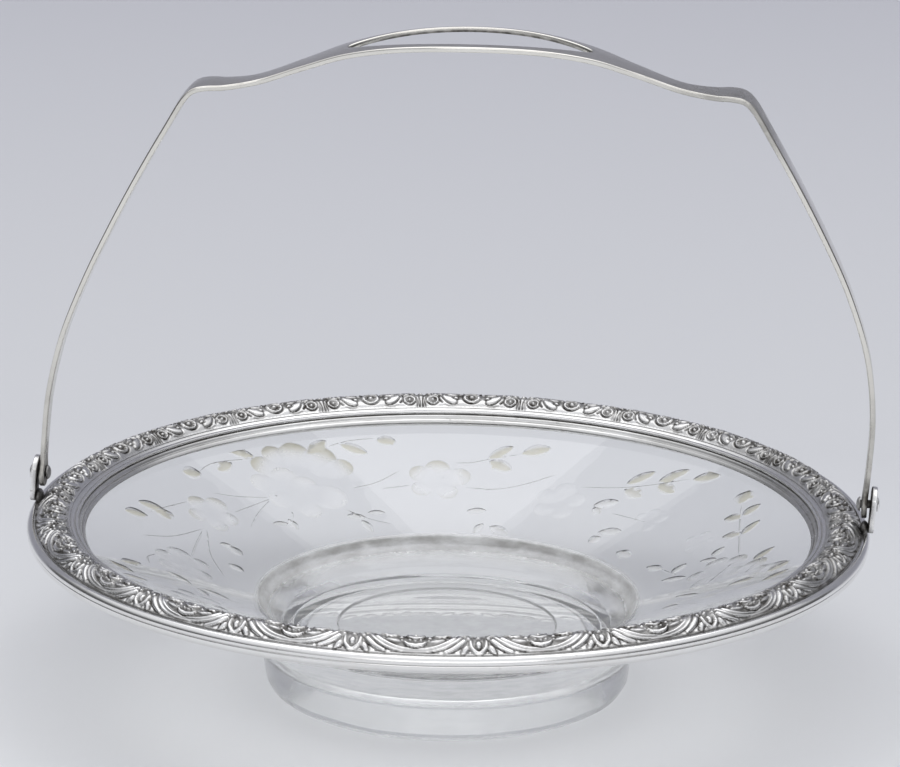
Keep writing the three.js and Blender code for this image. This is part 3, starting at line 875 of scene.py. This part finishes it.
class Relief:
    """A chased surface. Each element that is added covers what is under it and gets a dark line round it."""

    def __init__(self, points):
        self.points = points
        self.height = np.full(len(points), RELIEF_BASE)
        self.dark = np.zeros(len(points))

    def line(self, distance, strength=1.0, width=LINE_WIDTH):
        """A chased line where the distance is zero."""
        cut = strength * np.clip(1.6 * np.exp(-(distance / width) ** 2), 0, 1)
        self.height = np.minimum(self.height, RELIEF_BASE - LINE_DEPTH * cut + 0.2 * (1 - cut))
        self.dark = np.maximum(self.dark, cut)

    def body(self, inward, half, rise, outline=1.0):
        """A rounded body: inward is the distance inside its edge, half is half its width."""
        share = np.clip(inward / half, 0, 1)
        self.line(np.minimum(inward, 0), outline)
        inside = inward > 0
        round_height = RELIEF_BASE - 0.12 + rise * np.sqrt(1 - (1 - share) ** 2)
        edge = outline * np.clip(1.3 - inward / (0.55 * LINE_WIDTH), 0, 1)
        self.height = np.where(inside, round_height, self.height)
        self.dark = np.where(inside, edge, self.dark)

    def along(self, points):
        """Distance to a smooth line and the share of its length at the nearest point."""
        line = smooth_line(points, 0.25)
        pairs = [to_segment(self.points, start, end) for start, end in zip(line, line[1:])]
        distances = np.array([distance for distance, _ in pairs])
        nearest = distances.argmin(axis=0)
        pick = nearest, np.arange(len(self.points))
        return distances[pick], (nearest + np.array([share for _, share in pairs])[pick]) / len(pairs)

    def pool(self, centre, size, strength, beads):
        """A sunk, dark field with small beads in it."""
        offset = (self.points - np.array(centre)) / (np.array(size) / 2)
        inside = smoothstep(1.0, 0.93, lengths(offset)) * smoothstep(1.6, 3.6, self.points[:, 1])
        pearls = np.zeros(len(self.points))
        for *place, radius in beads:
            pearls = np.maximum(pearls, smoothstep(radius, 0.45 * radius, lengths(self.points - place)))
        self.height -= inside * (0.26 - 0.24 * pearls)
        self.dark = np.maximum(self.dark, strength * inside * (1 - pearls))

    def chase(self, points, strength=1.0, width=LINE_WIDTH):
        self.line(self.along(points)[0], strength, width)

    def scroll(self, points, widths, rise, outline=1.0):
        distance, share = self.along(points)
        half = np.interp(share, np.linspace(0, 1, len(widths)), widths) / 2
        self.body(half - distance, half, rise, outline)

    def leaf(self, tip, root, width, rise, outline=1.0, vein=0.5):
        axis = np.subtract(tip, root)
        length = np.linalg.norm(axis)
        axis = axis / length
        offset = self.points - np.array(root)
        t = offset @ axis / length
        across = np.abs(offset @ to_left(axis))
        half = width / 2 * np.clip(np.sin(np.pi * np.clip(t, 0, 1) ** 0.8), 0, 1) ** 0.7
        ends = np.minimum(t, 1 - t) * length
        beyond = np.minimum(ends, -np.hypot(np.minimum(ends, 0), across))
        inward = np.where((t > 0) & (t < 1), half - across, beyond)
        self.body(inward, np.maximum(half, 0.05), rise, outline)
        crease = vein * np.exp(-(across / 0.11) ** 2) * (inward > 0.1) * (t < 0.8)
        self.height -= 0.1 * crease
        self.dark = np.maximum(self.dark, 0.8 * crease)

    def bud(self, centre, size, rise, turn=0.0, outline=1.0):
        turn = math.radians(turn)
        axis = np.array([math.cos(turn), math.sin(turn)])
        offset = self.points - np.array(centre)
        spread = np.hypot(offset @ axis / (size[0] / 2), offset @ to_left(axis) / (size[1] / 2))
        self.body((1 - spread) * min(size) / 2, min(size) / 2, rise, outline)

    def rosette(self, centre, radius, rays, bead=0.8, rise=0.3):
        """A small flower: a raised rim, a dark hollow with beads in it and a bright heart."""
        offset = self.points - np.array(centre)
        distance = lengths(offset)
        away = distance / radius
        turn = np.arctan2(offset[:, 1], offset[:, 0])
        self.line(np.maximum(distance - radius, 0), 1.0, 0.3)
        self.body(radius - distance, 0.4 * radius, rise)
        hollow = smoothstep(0.78, 0.68, away)
        beads = hollow * smoothstep(0.45, 0.85, np.abs(np.cos(rays / 2 * turn))) * smoothstep(0.4, 0.52, away)
        bright = np.maximum(bead * beads, smoothstep(0.3, 0.16, away))
        dark = hollow * (1 - bright)
        self.height = np.where(away < 0.78, RELIEF_GROUND * (1 - dark), self.height)
        self.dark = np.where(away < 0.78, dark, self.dark)


def ornament(x, y):
    """Relief and grime of one motif: its medallion's middle is at x = 0, the band's inner side at y = 0."""
    far = MOTIF_HALF
    made = Relief(np.stack([np.abs(x), y], axis=1))
    # The smooth ground of the outer side, with a fine line under each medallion
    made.chase([(0, 7.75), (1.6, 7.74), (3.0, 7.7)], 0.5, 0.13)
    # Fan: the broad blades, the small leaves, the cup and the drop
    made.pool((far, 5.6), (7.0, 4.6), 0.7, [(far - 2.2, 5.6, 0.4)])
    made.leaf((far - 5.9, 8.1), (far - 2.0, 3.9), 2.5, 0.36, vein=0)
    made.leaf((far - 2.9, 8.35), (far - 1.6, 6.3), 1.15, 0.34, vein=0)
    made.scroll([(far - 1.25, 4.4), (far - 1.35, 5.9), (far - 1.0, 7.2), (far, 7.95)],
                (0.4, 0.6, 1.1), 0.26, 0.9)
    made.bud((far, 6.2), (1.05, 1.9), 0.32)
    made.bud((far, 4.45), (0.9, 0.8), 0.28)
    made.bud((far - 1.75, 4.55), (0.9, 0.8), 0.3, 20)
    # Divider: fine curves on both sides of a plain middle
    made.chase([(far - 0.35, 0.3), (far - 0.28, 1.6), (far - 0.45, 3.0), (far - 1.0, 4.0)], 1.0, 0.16)
    made.chase([(far - 0.95, 0.2), (far - 0.8, 1.5), (far - 0.95, 2.8), (far - 1.5, 3.7)], 0.9, 0.14)
    # Medallion: the broad scroll with its two fillets round a dark field
    made.scroll([(8.6, 1.2), (8.3, 2.8), (7.4, 4.5), (6.1, 6.0), (4.4, 7.0), (2.2, 7.5), (0, 7.6)],
                (0.7, 0.95, 1.0, 0.95, 0.85, 0.8, 0.8), 0.26, 0.9)
    made.scroll([(7.4, 2.9), (6.6, 4.5), (5.3, 5.8), (3.6, 6.7), (1.8, 7.15), (0, 7.25)],
                (0.5, 0.8, 0.75, 0.6, 0.5, 0.5), 0.24, 0.5)
    made.pool((0, 3.2), (13.2, 8.0), 0.85,
              [(3.3, 5.0, 0.34), (2.45, 4.3, 0.3), (4.2, 4.35, 0.3), (4.9, 3.6, 0.3), (5.6, 4.7, 0.3),
               (2.3, 5.3, 0.26), (4.3, 5.4, 0.28)])
    made.leaf((5.2, 5.1), (2.5, 5.7), 0.85, 0.22, 0.7)
    made.leaf((5.4, 4.3), (3.0, 3.4), 1.1, 0.3)
    made.scroll([(1.9, 5.7), (1.3, 6.3), (0, 6.6)], (0.35, 0.85, 1.0), 0.34)
    made.leaf((0.0, 5.75), (0.0, 4.9), 0.8, 0.28, 0.8, 0)
    made.leaf((1.05, 5.6), (0.75, 4.6), 0.62, 0.26, 0.8, 0)
    made.leaf((6.3, 3.5), (3.2, 1.2), 1.9, 0.34, vein=0.3)
    made.bud((3.35, 2.75), (1.1, 0.8), 0.25, 30)
    made.chase([(5.8, 0.75), (4.3, 0.5), (2.9, 0.8)], 0.6, 0.12)
    made.chase([(6.9, 4.1), (7.0, 2.6), (6.3, 1.4)], 1.0, 0.22)
    made.rosette((8.3, 2.2), 1.3, 6, 0.0)
    made.rosette((0, 3.1), 1.85, 10, 0.45)
    # Punched dots along the inner side
    across = np.abs(np.mod(made.points[:, 0], 0.9) - 0.45)
    made.line(np.hypot(across, (y - 0.4) * 1.3), 0.4, 0.13)
    return made.height, made.dark


def border_band(material):
    points, normals, run = band_section()
    half_columns = MOTIF_COLUMNS // 2
    columns = MOTIFS * MOTIF_COLUMNS

    def repeated(values):
        """One motif's half mirrored, then set all round; a motif leaves out the column its neighbour has."""
        values = values.reshape(BAND_ROWS, half_columns + 1)
        return np.tile(np.concatenate([values[:, :0:-1], values[:, :-1]], axis=1), (1, MOTIFS))

    motif = ornament(*grid_points(np.linspace(0, MOTIF_HALF, half_columns + 1), run).T)
    height, dark = (repeated(values) for values in motif)
    ends = between((0, 0.4, run[-1] - 0.4, run[-1]), run)[:, None]
    lift = (height - RELIEF_GROUND) * ends
    turn = np.radians(90 + MOTIF_PHASE) + (np.arange(columns) - half_columns) * (2 * math.pi / columns)
    turn = turn + np.radians(PHASE_DRIFT) * np.sin(turn)
    top = around(points[:, :1] + normals[:, :1] * lift, turn, points[:, 1:] + normals[:, 1:] * lift)
    skin = points - normals * BAND_SKIN
    low = [around(skin[row, 0], turn, skin[row, 1]) for row in (BAND_ROWS - 1, BAND_ROWS // 2, 0)]
    index = np.arange((BAND_ROWS + len(low)) * columns).reshape(-1, columns)
    faces = []
    for here, there in zip(index, np.roll(index, -1, axis=0)):
        faces.append(np.stack([here, there, np.roll(there, -1), np.roll(here, -1)], axis=1))
    # Dark lies in the chased lines, as tarnish; in the seam by the roll, partly dirt and partly painted shade
    # that is strongest at both sides; and beside the ears, partly dirt and partly painted shadow. The far
    # part and both sides, the right one most, are darker by painted shade
    seam_dirt_and_shade = smoothstep(0.55, 0.2, run[-1] - run)[:, None] * (0.15 + 0.8 * np.abs(np.cos(turn)) ** 1.2)
    ear_dirt_and_shadow = np.exp(-(np.abs(np.sin(turn)) / 0.035) ** 2) * smoothstep(5.5, 7.5, run)[:, None]
    dark = dark * np.maximum(ends, smoothstep(0.0, 1.0, run)[:, None])
    dark = np.maximum(np.maximum(dark, seam_dirt_and_shade), ear_dirt_and_shadow)
    right, far = np.cos(turn), np.sin(turn)
    side_shade = 0.36 * smoothstep(0.55, 0.95, right) + 0.12 * smoothstep(0.55, 0.95, -right)
    dark = mix(np.clip(dark, 0, 1), 1.0, np.minimum(side_shade + 0.16 * smoothstep(0.1, 0.6, far), 0.4))
    shape = np.vstack([top.reshape(-1, 3)] + low), np.vstack(faces)
    grime_and_shade = np.append(dark, np.zeros(len(low) * columns))
    silver_piece("border_band", "rim_border", shape, "embossed_silver", material, 180, grime_and_shade)


BEAD_OUTLINE = [
    (72.24, 33.6), (71.75, 33.28), (71.35, 33.2), (71.22, 33.36), (71.0, 33.42), (70.8, 33.38), (70.68, 33.2),
    (70.68, 32.86), (71.0, 32.7), (71.8, 32.9), (72.24, 33.0),
]
ROLL_TOP = [
    (78.7, 33.6), (78.95, 33.42), (79.2, 33.43), (79.5, 33.46), (79.9, 33.33), (80.25, 33.0), (80.45, 32.6),
    (80.46, 32.25), (80.36, 31.97),
]
ROLL_UNDER = [(79.7, 31.95), (79.3, 32.6), (78.7, 33.2)]
COLLAR_OUTLINE = [
    (69.35, 31.2), (69.36, 31.4), (69.6, 31.72), (69.82, 31.93), (69.92, 31.9), (70.12, 32.12), (70.32, 32.5),
    (70.6, 32.64), (71.28, 32.64), (71.28, 32.2), (69.5, 31.32),
]
UNDERPLATE_INNER = 72.05
UNDERPLATE_OUTLINE = [
    (UNDERPLATE_INNER, glass_under(UNDERPLATE_INNER) - 0.15), (73.99, 30.11), (75.39, 30.53), (79.0, 30.75),
    (79.79, 31.3), (79.75, 31.93), (80.3, 31.93), (80.34, 31.19), (79.95, 30.53), (79.24, 30.2),
    (75.39, 29.56), (UNDERPLATE_INNER, glass_under(UNDERPLATE_INNER) - 0.7),
]


def rim_rings(stamped, polished, dull):
    # The dark lines in the seams and corners are partly dirt and partly painted shade; the collar's right
    # side is darker by a painted shade
    ring("border_bead", "rim_border", rounded_loop(BEAD_OUTLINE, 0.12), "embossed_silver", stamped,
         [(71.35, 33.2, 0.12, 0.5), (70.66, 32.95, 0.14, 0.6), (72.2, 33.6, 0.15, 0.4)])
    ring("border_roll", "rim_border", [*smooth_line(ROLL_TOP, 0.12), *ROLL_UNDER], "plain_silver", stamped,
         [(78.98, 33.4, 0.12, 0.5), (80.36, 31.97, 0.1, 0.5)])
    ring("rim_collar_ring", "rim_collar", rounded_loop(COLLAR_OUTLINE, 0.08), "plain_silver", dull,
         [(69.93, 31.9, 0.1, 0.75), (69.38, 31.22, 0.1, 0.9), (70.66, 32.66, 0.1, 0.6)], 0.22)
    underplate = rounded_loop(UNDERPLATE_OUTLINE, 0.3, 4)
    ring("rim_underplate_ring", "rim_underplate", underplate, "plain_silver", polished)


# Plates with rounded edges: the handle's strip and the ears

def plate(name, cad_node, outline, holes, sizes, grid, place, slot, material, grime_and_shade, body="dish"):
    """A plate of a flat outline (counter-clockwise) with holes (clockwise), put in space by place(u, v, w).
    Sizes holds its thickness and its edges' rounding, the grid's points let it bend, and a second function
    says how dark each point is, by tarnish and by painted shade."""
    loops = [outline] + holes
    edge = sizes.edge

    def inside(points):
        return inside_loop(points, outline) & ~np.any([inside_loop(points, hole) for hole in holes], axis=0)

    def from_edge(points):
        return np.min([loop_distance(points, loop) for loop in loops], axis=0)

    sheet = Sheet()
    for loop in loops:
        for share in (0.0, 0.12, 0.35, 0.65, 1.0):
            sheet.loop(offset_loop(loop, edge * share))
    sheet.scatter(grid[(from_edge(grid) > edge * 2.0) & inside(grid)])
    flat, faces = sheet.triangles(1e-6)
    used, faces = np.unique(faces[inside(flat[faces].mean(axis=1))], return_inverse=True)
    flat, faces = flat[used], faces.reshape(-1, 3)
    share = np.clip(from_edge(flat) / edge, 0, 1)
    level = sizes.thickness / 2 - edge + edge * np.sqrt(1 - (1 - share) ** 2)
    vertices = np.vstack([place(flat[:, 0], flat[:, 1], side * level) for side in (1, -1)])
    size = len(flat)
    halves = dict.fromkeys(pair for a, b, c in faces.tolist() for pair in ((a, b), (b, c), (c, a)))
    walls = [[b, a, a + size, b + size] for a, b in halves if (b, a) not in halves]
    shape = vertices, faces.tolist() + shifted(faces[:, ::-1], size) + walls
    silver_piece(name, cad_node, shape, slot, material, 55, grime_and_shade(vertices), body)


# The handle: its middle line as shares of its half span and height, its widths from the foot to the grip,
# and how far it stands aside: by its play on the rivets, and by the set that its arms took with use
BAIL = SimpleNamespace(
    half_span=78.85, height=88.03, thickness=1.05, edge=0.28, side_play=0.3, side_set=2.4, side_rise=0.83,
    set_height=50.0, camber=0.8, end_radius=2.7, hole=1.0, foot=3.4, shoulder=9.6, neck=6.4, grip=20.4,
    bar=2.0, slot=46.0)
BAIL_SHARES = [
    (1.0, 0.0), (1.0, 0.091), (0.997, 0.176), (0.984, 0.261), (0.963, 0.341), (0.911, 0.466), (0.857, 0.568),
    (0.789, 0.684), (0.718, 0.795), (0.669, 0.866), (0.648, 0.881), (0.618, 0.886), (0.583, 0.886),
    (0.505, 0.896), (0.393, 0.931), (0.288, 0.965), (0.152, 0.991), (0.0, 1.0),
]
FOOT_END, SHOULDER_END, NECK_END = 0.04, 0.62, 0.7


def bail_line():
    """The handle's middle line: points and the length up to each."""
    half = [(x * BAIL.half_span, z * BAIL.height) for x, z in BAIL_SHARES]
    points = np.array([(-x, z) for x, z in half] + half[-2::-1])
    padded = np.vstack([2 * points[0] - points[1], points, 2 * points[-1] - points[-2]])
    out = []
    for p0, p1, p2, p3 in zip(padded, padded[1:], padded[2:], padded[3:]):
        d0, d1, d2 = (math.sqrt(np.linalg.norm(b - a)) for a, b in ((p0, p1), (p1, p2), (p2, p3)))
        t1 = ((p1 - p0) / d0 - (p2 - p0) / (d0 + d1) + (p2 - p1) / d1) * d1
        t2 = ((p2 - p1) / d1 - (p3 - p1) / (d1 + d2) + (p3 - p2) / d2) * d1
        bend, twist = -3 * p1 + 3 * p2 - 2 * t1 - t2, 2 * p1 - 2 * p2 + t1 + t2
        out += [p1 + t1 * t + bend * t * t + twist * t ** 3 for t in np.linspace(0, 1, 60, endpoint=False)]
    out = np.array(out + [points[-1]])
    return out, run_along(out)


def strip_width(share):
    """Width of the strip at a share of the way from a rivet to the handle's middle."""
    b = BAIL
    arm = mix(b.foot, b.shoulder, (share - FOOT_END) / (SHOULDER_END - FOOT_END))
    neck = mix(b.shoulder, b.neck, smoothstep(SHOULDER_END, NECK_END, share))
    grip_share = np.clip((share - NECK_END) / (1 - NECK_END), 0, 1)
    grip = mix(b.neck, b.grip, np.sin(grip_share * math.pi / 2) ** 2)
    stretches = [share < FOOT_END, share < SHOULDER_END, share < NECK_END]
    return np.select(stretches, [b.foot, arm, neck], grip)


def bail_handle(material):
    line, run = bail_line()
    length = run[-1]
    b = BAIL

    def half_width(u):
        from_end = np.minimum(u, length - u)
        disc = np.sqrt(np.maximum(b.end_radius ** 2 - from_end ** 2, 0))
        strip = strip_width(np.maximum(1 - np.abs(2 * u / length - 1), 0)) / 2
        return np.maximum(disc, np.where(from_end < 0, 0, strip))

    def slot_half(along):
        """Half width of the slot at a distance from the handle's middle."""
        share = np.clip(along / (b.slot / 2), -1, 1)
        return (half_width(length / 2 + along) - b.bar) * np.sqrt(np.maximum(1 - share ** 4, 0))

    def on_line(u):
        return np.array([np.interp(u, run, line[:, k]) for k in (0, 1)])

    def place(u, v, w):
        inner = np.clip(u, 0, length)
        x, z = on_line(inner)
        tangent = on_line(inner + 0.25) - on_line(inner - 0.25)
        tx, tz = tangent / np.hypot(*tangent)
        out = w + b.camber * (v / (b.grip / 2)) ** 2
        x = x + tx * (u - inner) + tz * out
        z = z + tz * (u - inner) - tx * out
        turn = np.sin(np.clip(z / b.set_height, 0, 1) * math.pi / 2)
        return np.column_stack([x + b.side_play + b.side_set * turn, v,
                                z + b.side_rise * turn * (x / b.half_span) + PIVOT_HEIGHT])

    def grime_and_shade(points):
        """Darkening: tarnish on the ends, with painted shade on their faces towards the ears, in the gaps.
        The slot's walls and the shoulders, the right one most, are darker.
        """
        above = points[:, 2] - PIVOT_HEIGHT
        along = points[:, 0] - b.side_play - b.side_set
        end = np.maximum(smoothstep(9.0, 2.0, above), 0.36 * smoothstep(42.0, 10.0, above))
        # Painted shade: the faces towards the ears, in the gaps, are darker
        outer = smoothstep(0.0, 0.4, np.abs(points[:, 0] - 2.7 * smoothstep(0, 50, above)) - b.half_span)
        end = end * (0.6 + 0.4 * outer)
        from_wall = np.abs(np.abs(points[:, 1]) - slot_half(along))
        inner_face = np.arange(len(points)) < len(points) // 2
        at_slot = inner_face & (np.abs(along) < b.slot / 2) & (above > 60)
        wall = 0.9 * smoothstep(0.3, 0.05, from_wall) * at_slot
        shoulders = 0.42 * smoothstep(20, 55, along) + 0.1 * smoothstep(-30, -55, along)
        return np.clip(np.maximum(np.maximum(end, wall), shoulders * smoothstep(62, 74, above)), 0, 1)

    def both_sides(us, halves):
        """An outline whose two sides lie at half its width from the middle line."""
        return np.vstack([np.column_stack([us, -halves])[:-1], np.column_stack([us, halves])[::-1][:-1]])

    quarter = np.linspace(0, math.pi / 2, 14)
    us = np.concatenate([-b.end_radius * np.cos(quarter), np.linspace(0, length, int(length / 0.9))[1:-1],
                         length + b.end_radius * np.sin(quarter)])
    widths = half_width(us)
    # Soften the step between the round end and the strip
    soft = np.convolve(np.pad(widths, 1, mode="edge"), [0.25, 0.5, 0.25], mode="valid")
    from_end = np.minimum(us, length - us)
    widths = np.where((from_end > 1.2) & (from_end < 4.5), soft, widths)
    share = np.linspace(-1, 1, 61)
    along = b.slot / 2 * (np.sign(share) * (1 - (1 - np.abs(share)) ** 1.6))
    clockwise = np.linspace(0, -2 * math.pi, 28, endpoint=False)
    holes = [both_sides(length / 2 + along, -slot_half(along))]
    holes += [arc(b.hole, clockwise, (centre, 0.0)) for centre in (0.0, length)]
    grid = grid_points(np.arange(0.5, length, 1.0), np.linspace(-9.6, 9.6, 17))
    plate("bail_strip", "bail_handle", both_sides(us, widths), holes, b, grid, place,
          "handle_silver", material, grime_and_shade, "bail")


EAR = SimpleNamespace(
    inner_face=79.95, thickness=1.1, edge=0.22, hole=0.92, radius=3.4, foot_radius=2.0, foot_height=33.3,
    lean={-1: 6.2, 1: 3.6})
EAR_DROP = PIVOT_HEIGHT - EAR.foot_height
SOLDER_SIZE = (1.7, 4.0, 2.8)
SOLDER_REACH = 79.35
SOLDER_HEIGHT = 34.2
RIVET = SimpleNamespace(radius=0.8, head_radius=1.4, head=0.57, end=0.75, play=0.27)
SIDES = {-1: "left", 1: "right"}


def ear_plate(side, material):
    e = EAR
    foot_rise = EAR_DROP - e.foot_radius
    tuck = math.asin((e.radius - e.foot_radius) / foot_rise)
    head = arc(e.radius, np.linspace(tuck, math.pi - tuck, 30))
    foot = arc(e.foot_radius, np.linspace(math.pi - tuck, 2 * math.pi + tuck, 22), (0.0, -foot_rise))
    straight = np.linspace(0, 1, 6)[1:-1, None]
    outline = np.vstack([head, mix(head[-1], foot[0], straight), foot, mix(foot[-1], head[0], straight)])
    hole = arc(e.hole, np.linspace(0, -2 * math.pi, 24, endpoint=False))
    lean = math.radians(e.lean[side])

    def place(u, v, w):
        height = v + EAR_DROP
        x = w * math.cos(lean) + height * math.sin(lean)
        z = -w * math.sin(lean) + height * math.cos(lean)
        return np.column_stack([x + side * (e.inner_face + e.thickness / 2), u, z + e.foot_height])

    def grime_and_shade(points):
        """Painted shade: the inner face, in the gap by the handle's end, is black. Round the foot it darkens,
        partly dirt and partly painted shadow.
        """
        from_foot = points[:, 2] - e.foot_height
        inward = side * (points[:, 0] - from_foot * math.tan(lean)) - e.inner_face
        return np.maximum(smoothstep(0.3, 0.1, inward), 0.8 * smoothstep(1.2, 0.2, from_foot))

    grid = grid_points(np.arange(-3.2, 3.3, 0.8), np.arange(-4.8, 3.3, 0.8))
    plate(f"ear_plate_{SIDES[side]}", f"ear_{SIDES[side]}", outline, [hole], e, grid, place,
          "fitting_silver", material, grime_and_shade)


def ear_solder(side, material):
    """The lump of solder and dirt that joins an ear's foot to the rim; its near-black colour is partly dirt
    and partly painted shadow.
    """
    vertices, faces = lathe(arc(1.0, np.linspace(-math.pi / 2, math.pi / 2, 9)), 24)
    vertices = vertices * np.array(SOLDER_SIZE) / 2 + np.array([side * SOLDER_REACH, 0.0, SOLDER_HEIGHT])
    silver_piece(f"ear_solder_{SIDES[side]}", f"ear_{SIDES[side]}", (vertices, faces),
                 "fitting_silver", material, 60, np.full(len(vertices), 0.9))


def rivet_pin(side, material):
    r = RIVET
    slope = math.tan(math.radians(EAR.lean[side]))
    outside = EAR.inner_face + EAR.thickness + side * EAR_DROP * slope
    head = outside + r.head_radius * slope + 0.03
    end = BAIL.half_span + side * BAIL.side_play - BAIL.thickness / 2 - r.play

    def dome(level, rise):
        """A rounded end from its top down to its rim."""
        turn = np.linspace(0.15, math.pi / 2, 9)
        return [(0.0, level + rise), *zip(r.head_radius * np.sin(turn), level + rise * np.cos(turn))]

    profile = dome(head, r.head) + [(r.radius, head), (r.radius, end)] + dome(end, -r.end)[::-1]
    vertices, faces = lathe(profile, 40)
    reach = vertices[:, 2]
    vertices = np.column_stack([side * reach, vertices[:, 1], side * -vertices[:, 0] + PIVOT_HEIGHT])
    # Painted shade: the shank, which shows only in the gap between ear and strip, is dark; the inner end is
    # darker too, the head clean
    grime_and_shade = smoothstep(head + 0.15, head, reach) * (0.55 + 0.45 * smoothstep(end - 0.2, end, reach))
    silver_piece(f"rivet_pin_{SIDES[side]}", f"rivet_{SIDES[side]}", (vertices, faces),
                 "fitting_silver", material, 50, grime_and_shade)


# Camera, lights and floor

CAMERA_PLACE = (0.0591644, -0.7418382, 0.2741701)
CAMERA_RIGHT = (0.996382, 0.083759, 0.014377)
CAMERA_UP = (-0.036961, 0.274758, 0.960803)
CAMERA_BACK = (0.076526, -0.957858, 0.276860)
FOCAL_SHARE = 4077.38 / 900
LIGHT_TARGET = (0, 0, 0.03)
SKY = (0.95, 0.965, 1.0, 1.0)
FLOOR_SEEN = 0.62
PAPER = (0.67, 0.675, 0.70, 1.0)
PAPER_PAINTED_SHADE = (0.56, 0.56, 0.61, 1.0)
PAPER_PAINTED_LIGHT = (0.86, 0.865, 0.875, 1.0)


def build_camera(scene):
    data = bpy.data.cameras.new("camera")
    data.sensor_width = 36.0
    data.lens = FOCAL_SHARE * data.sensor_width
    data.clip_start, data.clip_end = 0.01, 20.0
    obj = bpy.data.objects.new("camera", data)
    obj.matrix_world = Matrix([*zip(CAMERA_RIGHT, CAMERA_UP, CAMERA_BACK, CAMERA_PLACE), (0, 0, 0, 1)])
    scene.collection.objects.link(obj)
    scene.camera = obj


def build_light(scene, name, place, size, power):
    data = bpy.data.lights.new(name, "AREA")
    data.shape = "RECTANGLE"
    data.size, data.size_y = size
    data.energy = power
    obj = bpy.data.objects.new(name, data)
    obj.location = place
    obj.rotation_euler = (Vector(LIGHT_TARGET) - Vector(place)).to_track_quat("-Z", "Y").to_euler()
    scene.collection.objects.link(obj)


def build_world(scene):
    """A pale sky that is brighter high up and darker low at both sides."""
    scene.world = bpy.data.worlds.new("studio")
    scene.world.use_nodes = True
    tree = scene.world.node_tree
    tree.nodes.clear()
    direction = node(tree, "ShaderNodeTexCoord").outputs["Generated"]
    parts = node(tree, "ShaderNodeSeparateXYZ", {0: direction}).outputs
    level = ramp(tree, parts["Z"], 0.05, 0.8, 0.42, 0.95)
    aside = ramp(tree, maths(tree, "ABSOLUTE", parts["X"]), 0.5, 0.85)
    flag = times(tree, times(tree, aside, ramp(tree, parts["Z"], 0.6, 0.3)), 0.8)
    level = times(tree, level, maths(tree, "SUBTRACT", 1.0, flag))
    # Seen past the floor's end, the world is as pale as the floor
    seen = node(tree, "ShaderNodeLightPath").outputs["Is Camera Ray"]
    level = maths(tree, "MAXIMUM", level, times(tree, seen, FLOOR_SEEN))
    light = node(tree, "ShaderNodeBackground", {"Color": SKY, "Strength": level})
    out = node(tree, "ShaderNodeOutputWorld")
    tree.links.new(light.outputs[0], out.inputs["Surface"])


def build_floor(scene):
    """A floor that curves up into a backdrop far behind the dish."""
    half, front, turn, depth, top = 4.0, -3.0, 2.2, 0.8, 3.0
    curve = np.linspace(0, math.pi / 2, 13)
    profile = [(front, 0.0), *arc(depth, curve - math.pi / 2, (turn, depth)), (turn + depth, top)]
    vertices = [(x, y, z) for y, z in profile for x in (-half, half)]
    faces = [(i, i + 1, i + 3, i + 2) for i in range(0, len(vertices) - 2, 2)]
    mesh = bpy.data.meshes.new("floor")
    mesh.from_pydata(vertices, [], faces)
    mesh.polygons.foreach_set("use_smooth", [True] * len(faces))
    floor = bpy.data.objects.new("floor", mesh)
    scene.collection.objects.link(floor)
    material, tree, principled = shader("floor_paper")
    away = node(tree, "ShaderNodeSeparateXYZ", {0: object_point(tree)}).outputs["Y"]
    # Painted shade: the paper darkens towards the back. Painted light: it is brighter near and in front of
    # the dish, which lightens the dish's shadow
    paper = blend(tree, ramp(tree, away, 0.2, 0.9), PAPER, PAPER_PAINTED_SHADE)
    paper = blend(tree, ramp(tree, away, 0.16, -0.12), paper, PAPER_PAINTED_LIGHT)
    finish(tree, principled, paper, 0.9)
    principled.inputs["Specular IOR Level"].default_value = 0.1
    mesh.materials.append(material)


def main():
    scene = bpy.context.scene
    scene.view_settings.view_transform = "Standard"
    build_camera(scene)
    build_world(scene)
    build_light(scene, "top_box", (0.0, 0.2, 1.2), (1.3, 1.0), 3.5)
    build_light(scene, "front_box", (0.15, -1.5, 0.6), (1.4, 0.95), 3.1)
    build_floor(scene)
    stamped = silver("stamped_silver", 0.17, 0.2)
    polished = silver("polished_silver", 0.14, 0.2)
    dull = silver("dull_silver", 0.2, 0.3, (DULL, DULL_WARM))
    fitting = silver("fitting_silver", 0.18, 0.35)
    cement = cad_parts["rim_cement"].data.materials
    cement.clear()
    cement.append(plaster("fill"))
    engraved_dish(cut_glass("cut_glass"))
    border_band(stamped)
    rim_rings(stamped, polished, dull)
    bail_handle(silver("handle_silver", 0.13, 0.3, (HANDLE_SILVER, HANDLE_WARM)))
    for side in SIDES:
        ear_plate(side, fitting)
        ear_solder(side, fitting)
        rivet_pin(side, fitting)


main()
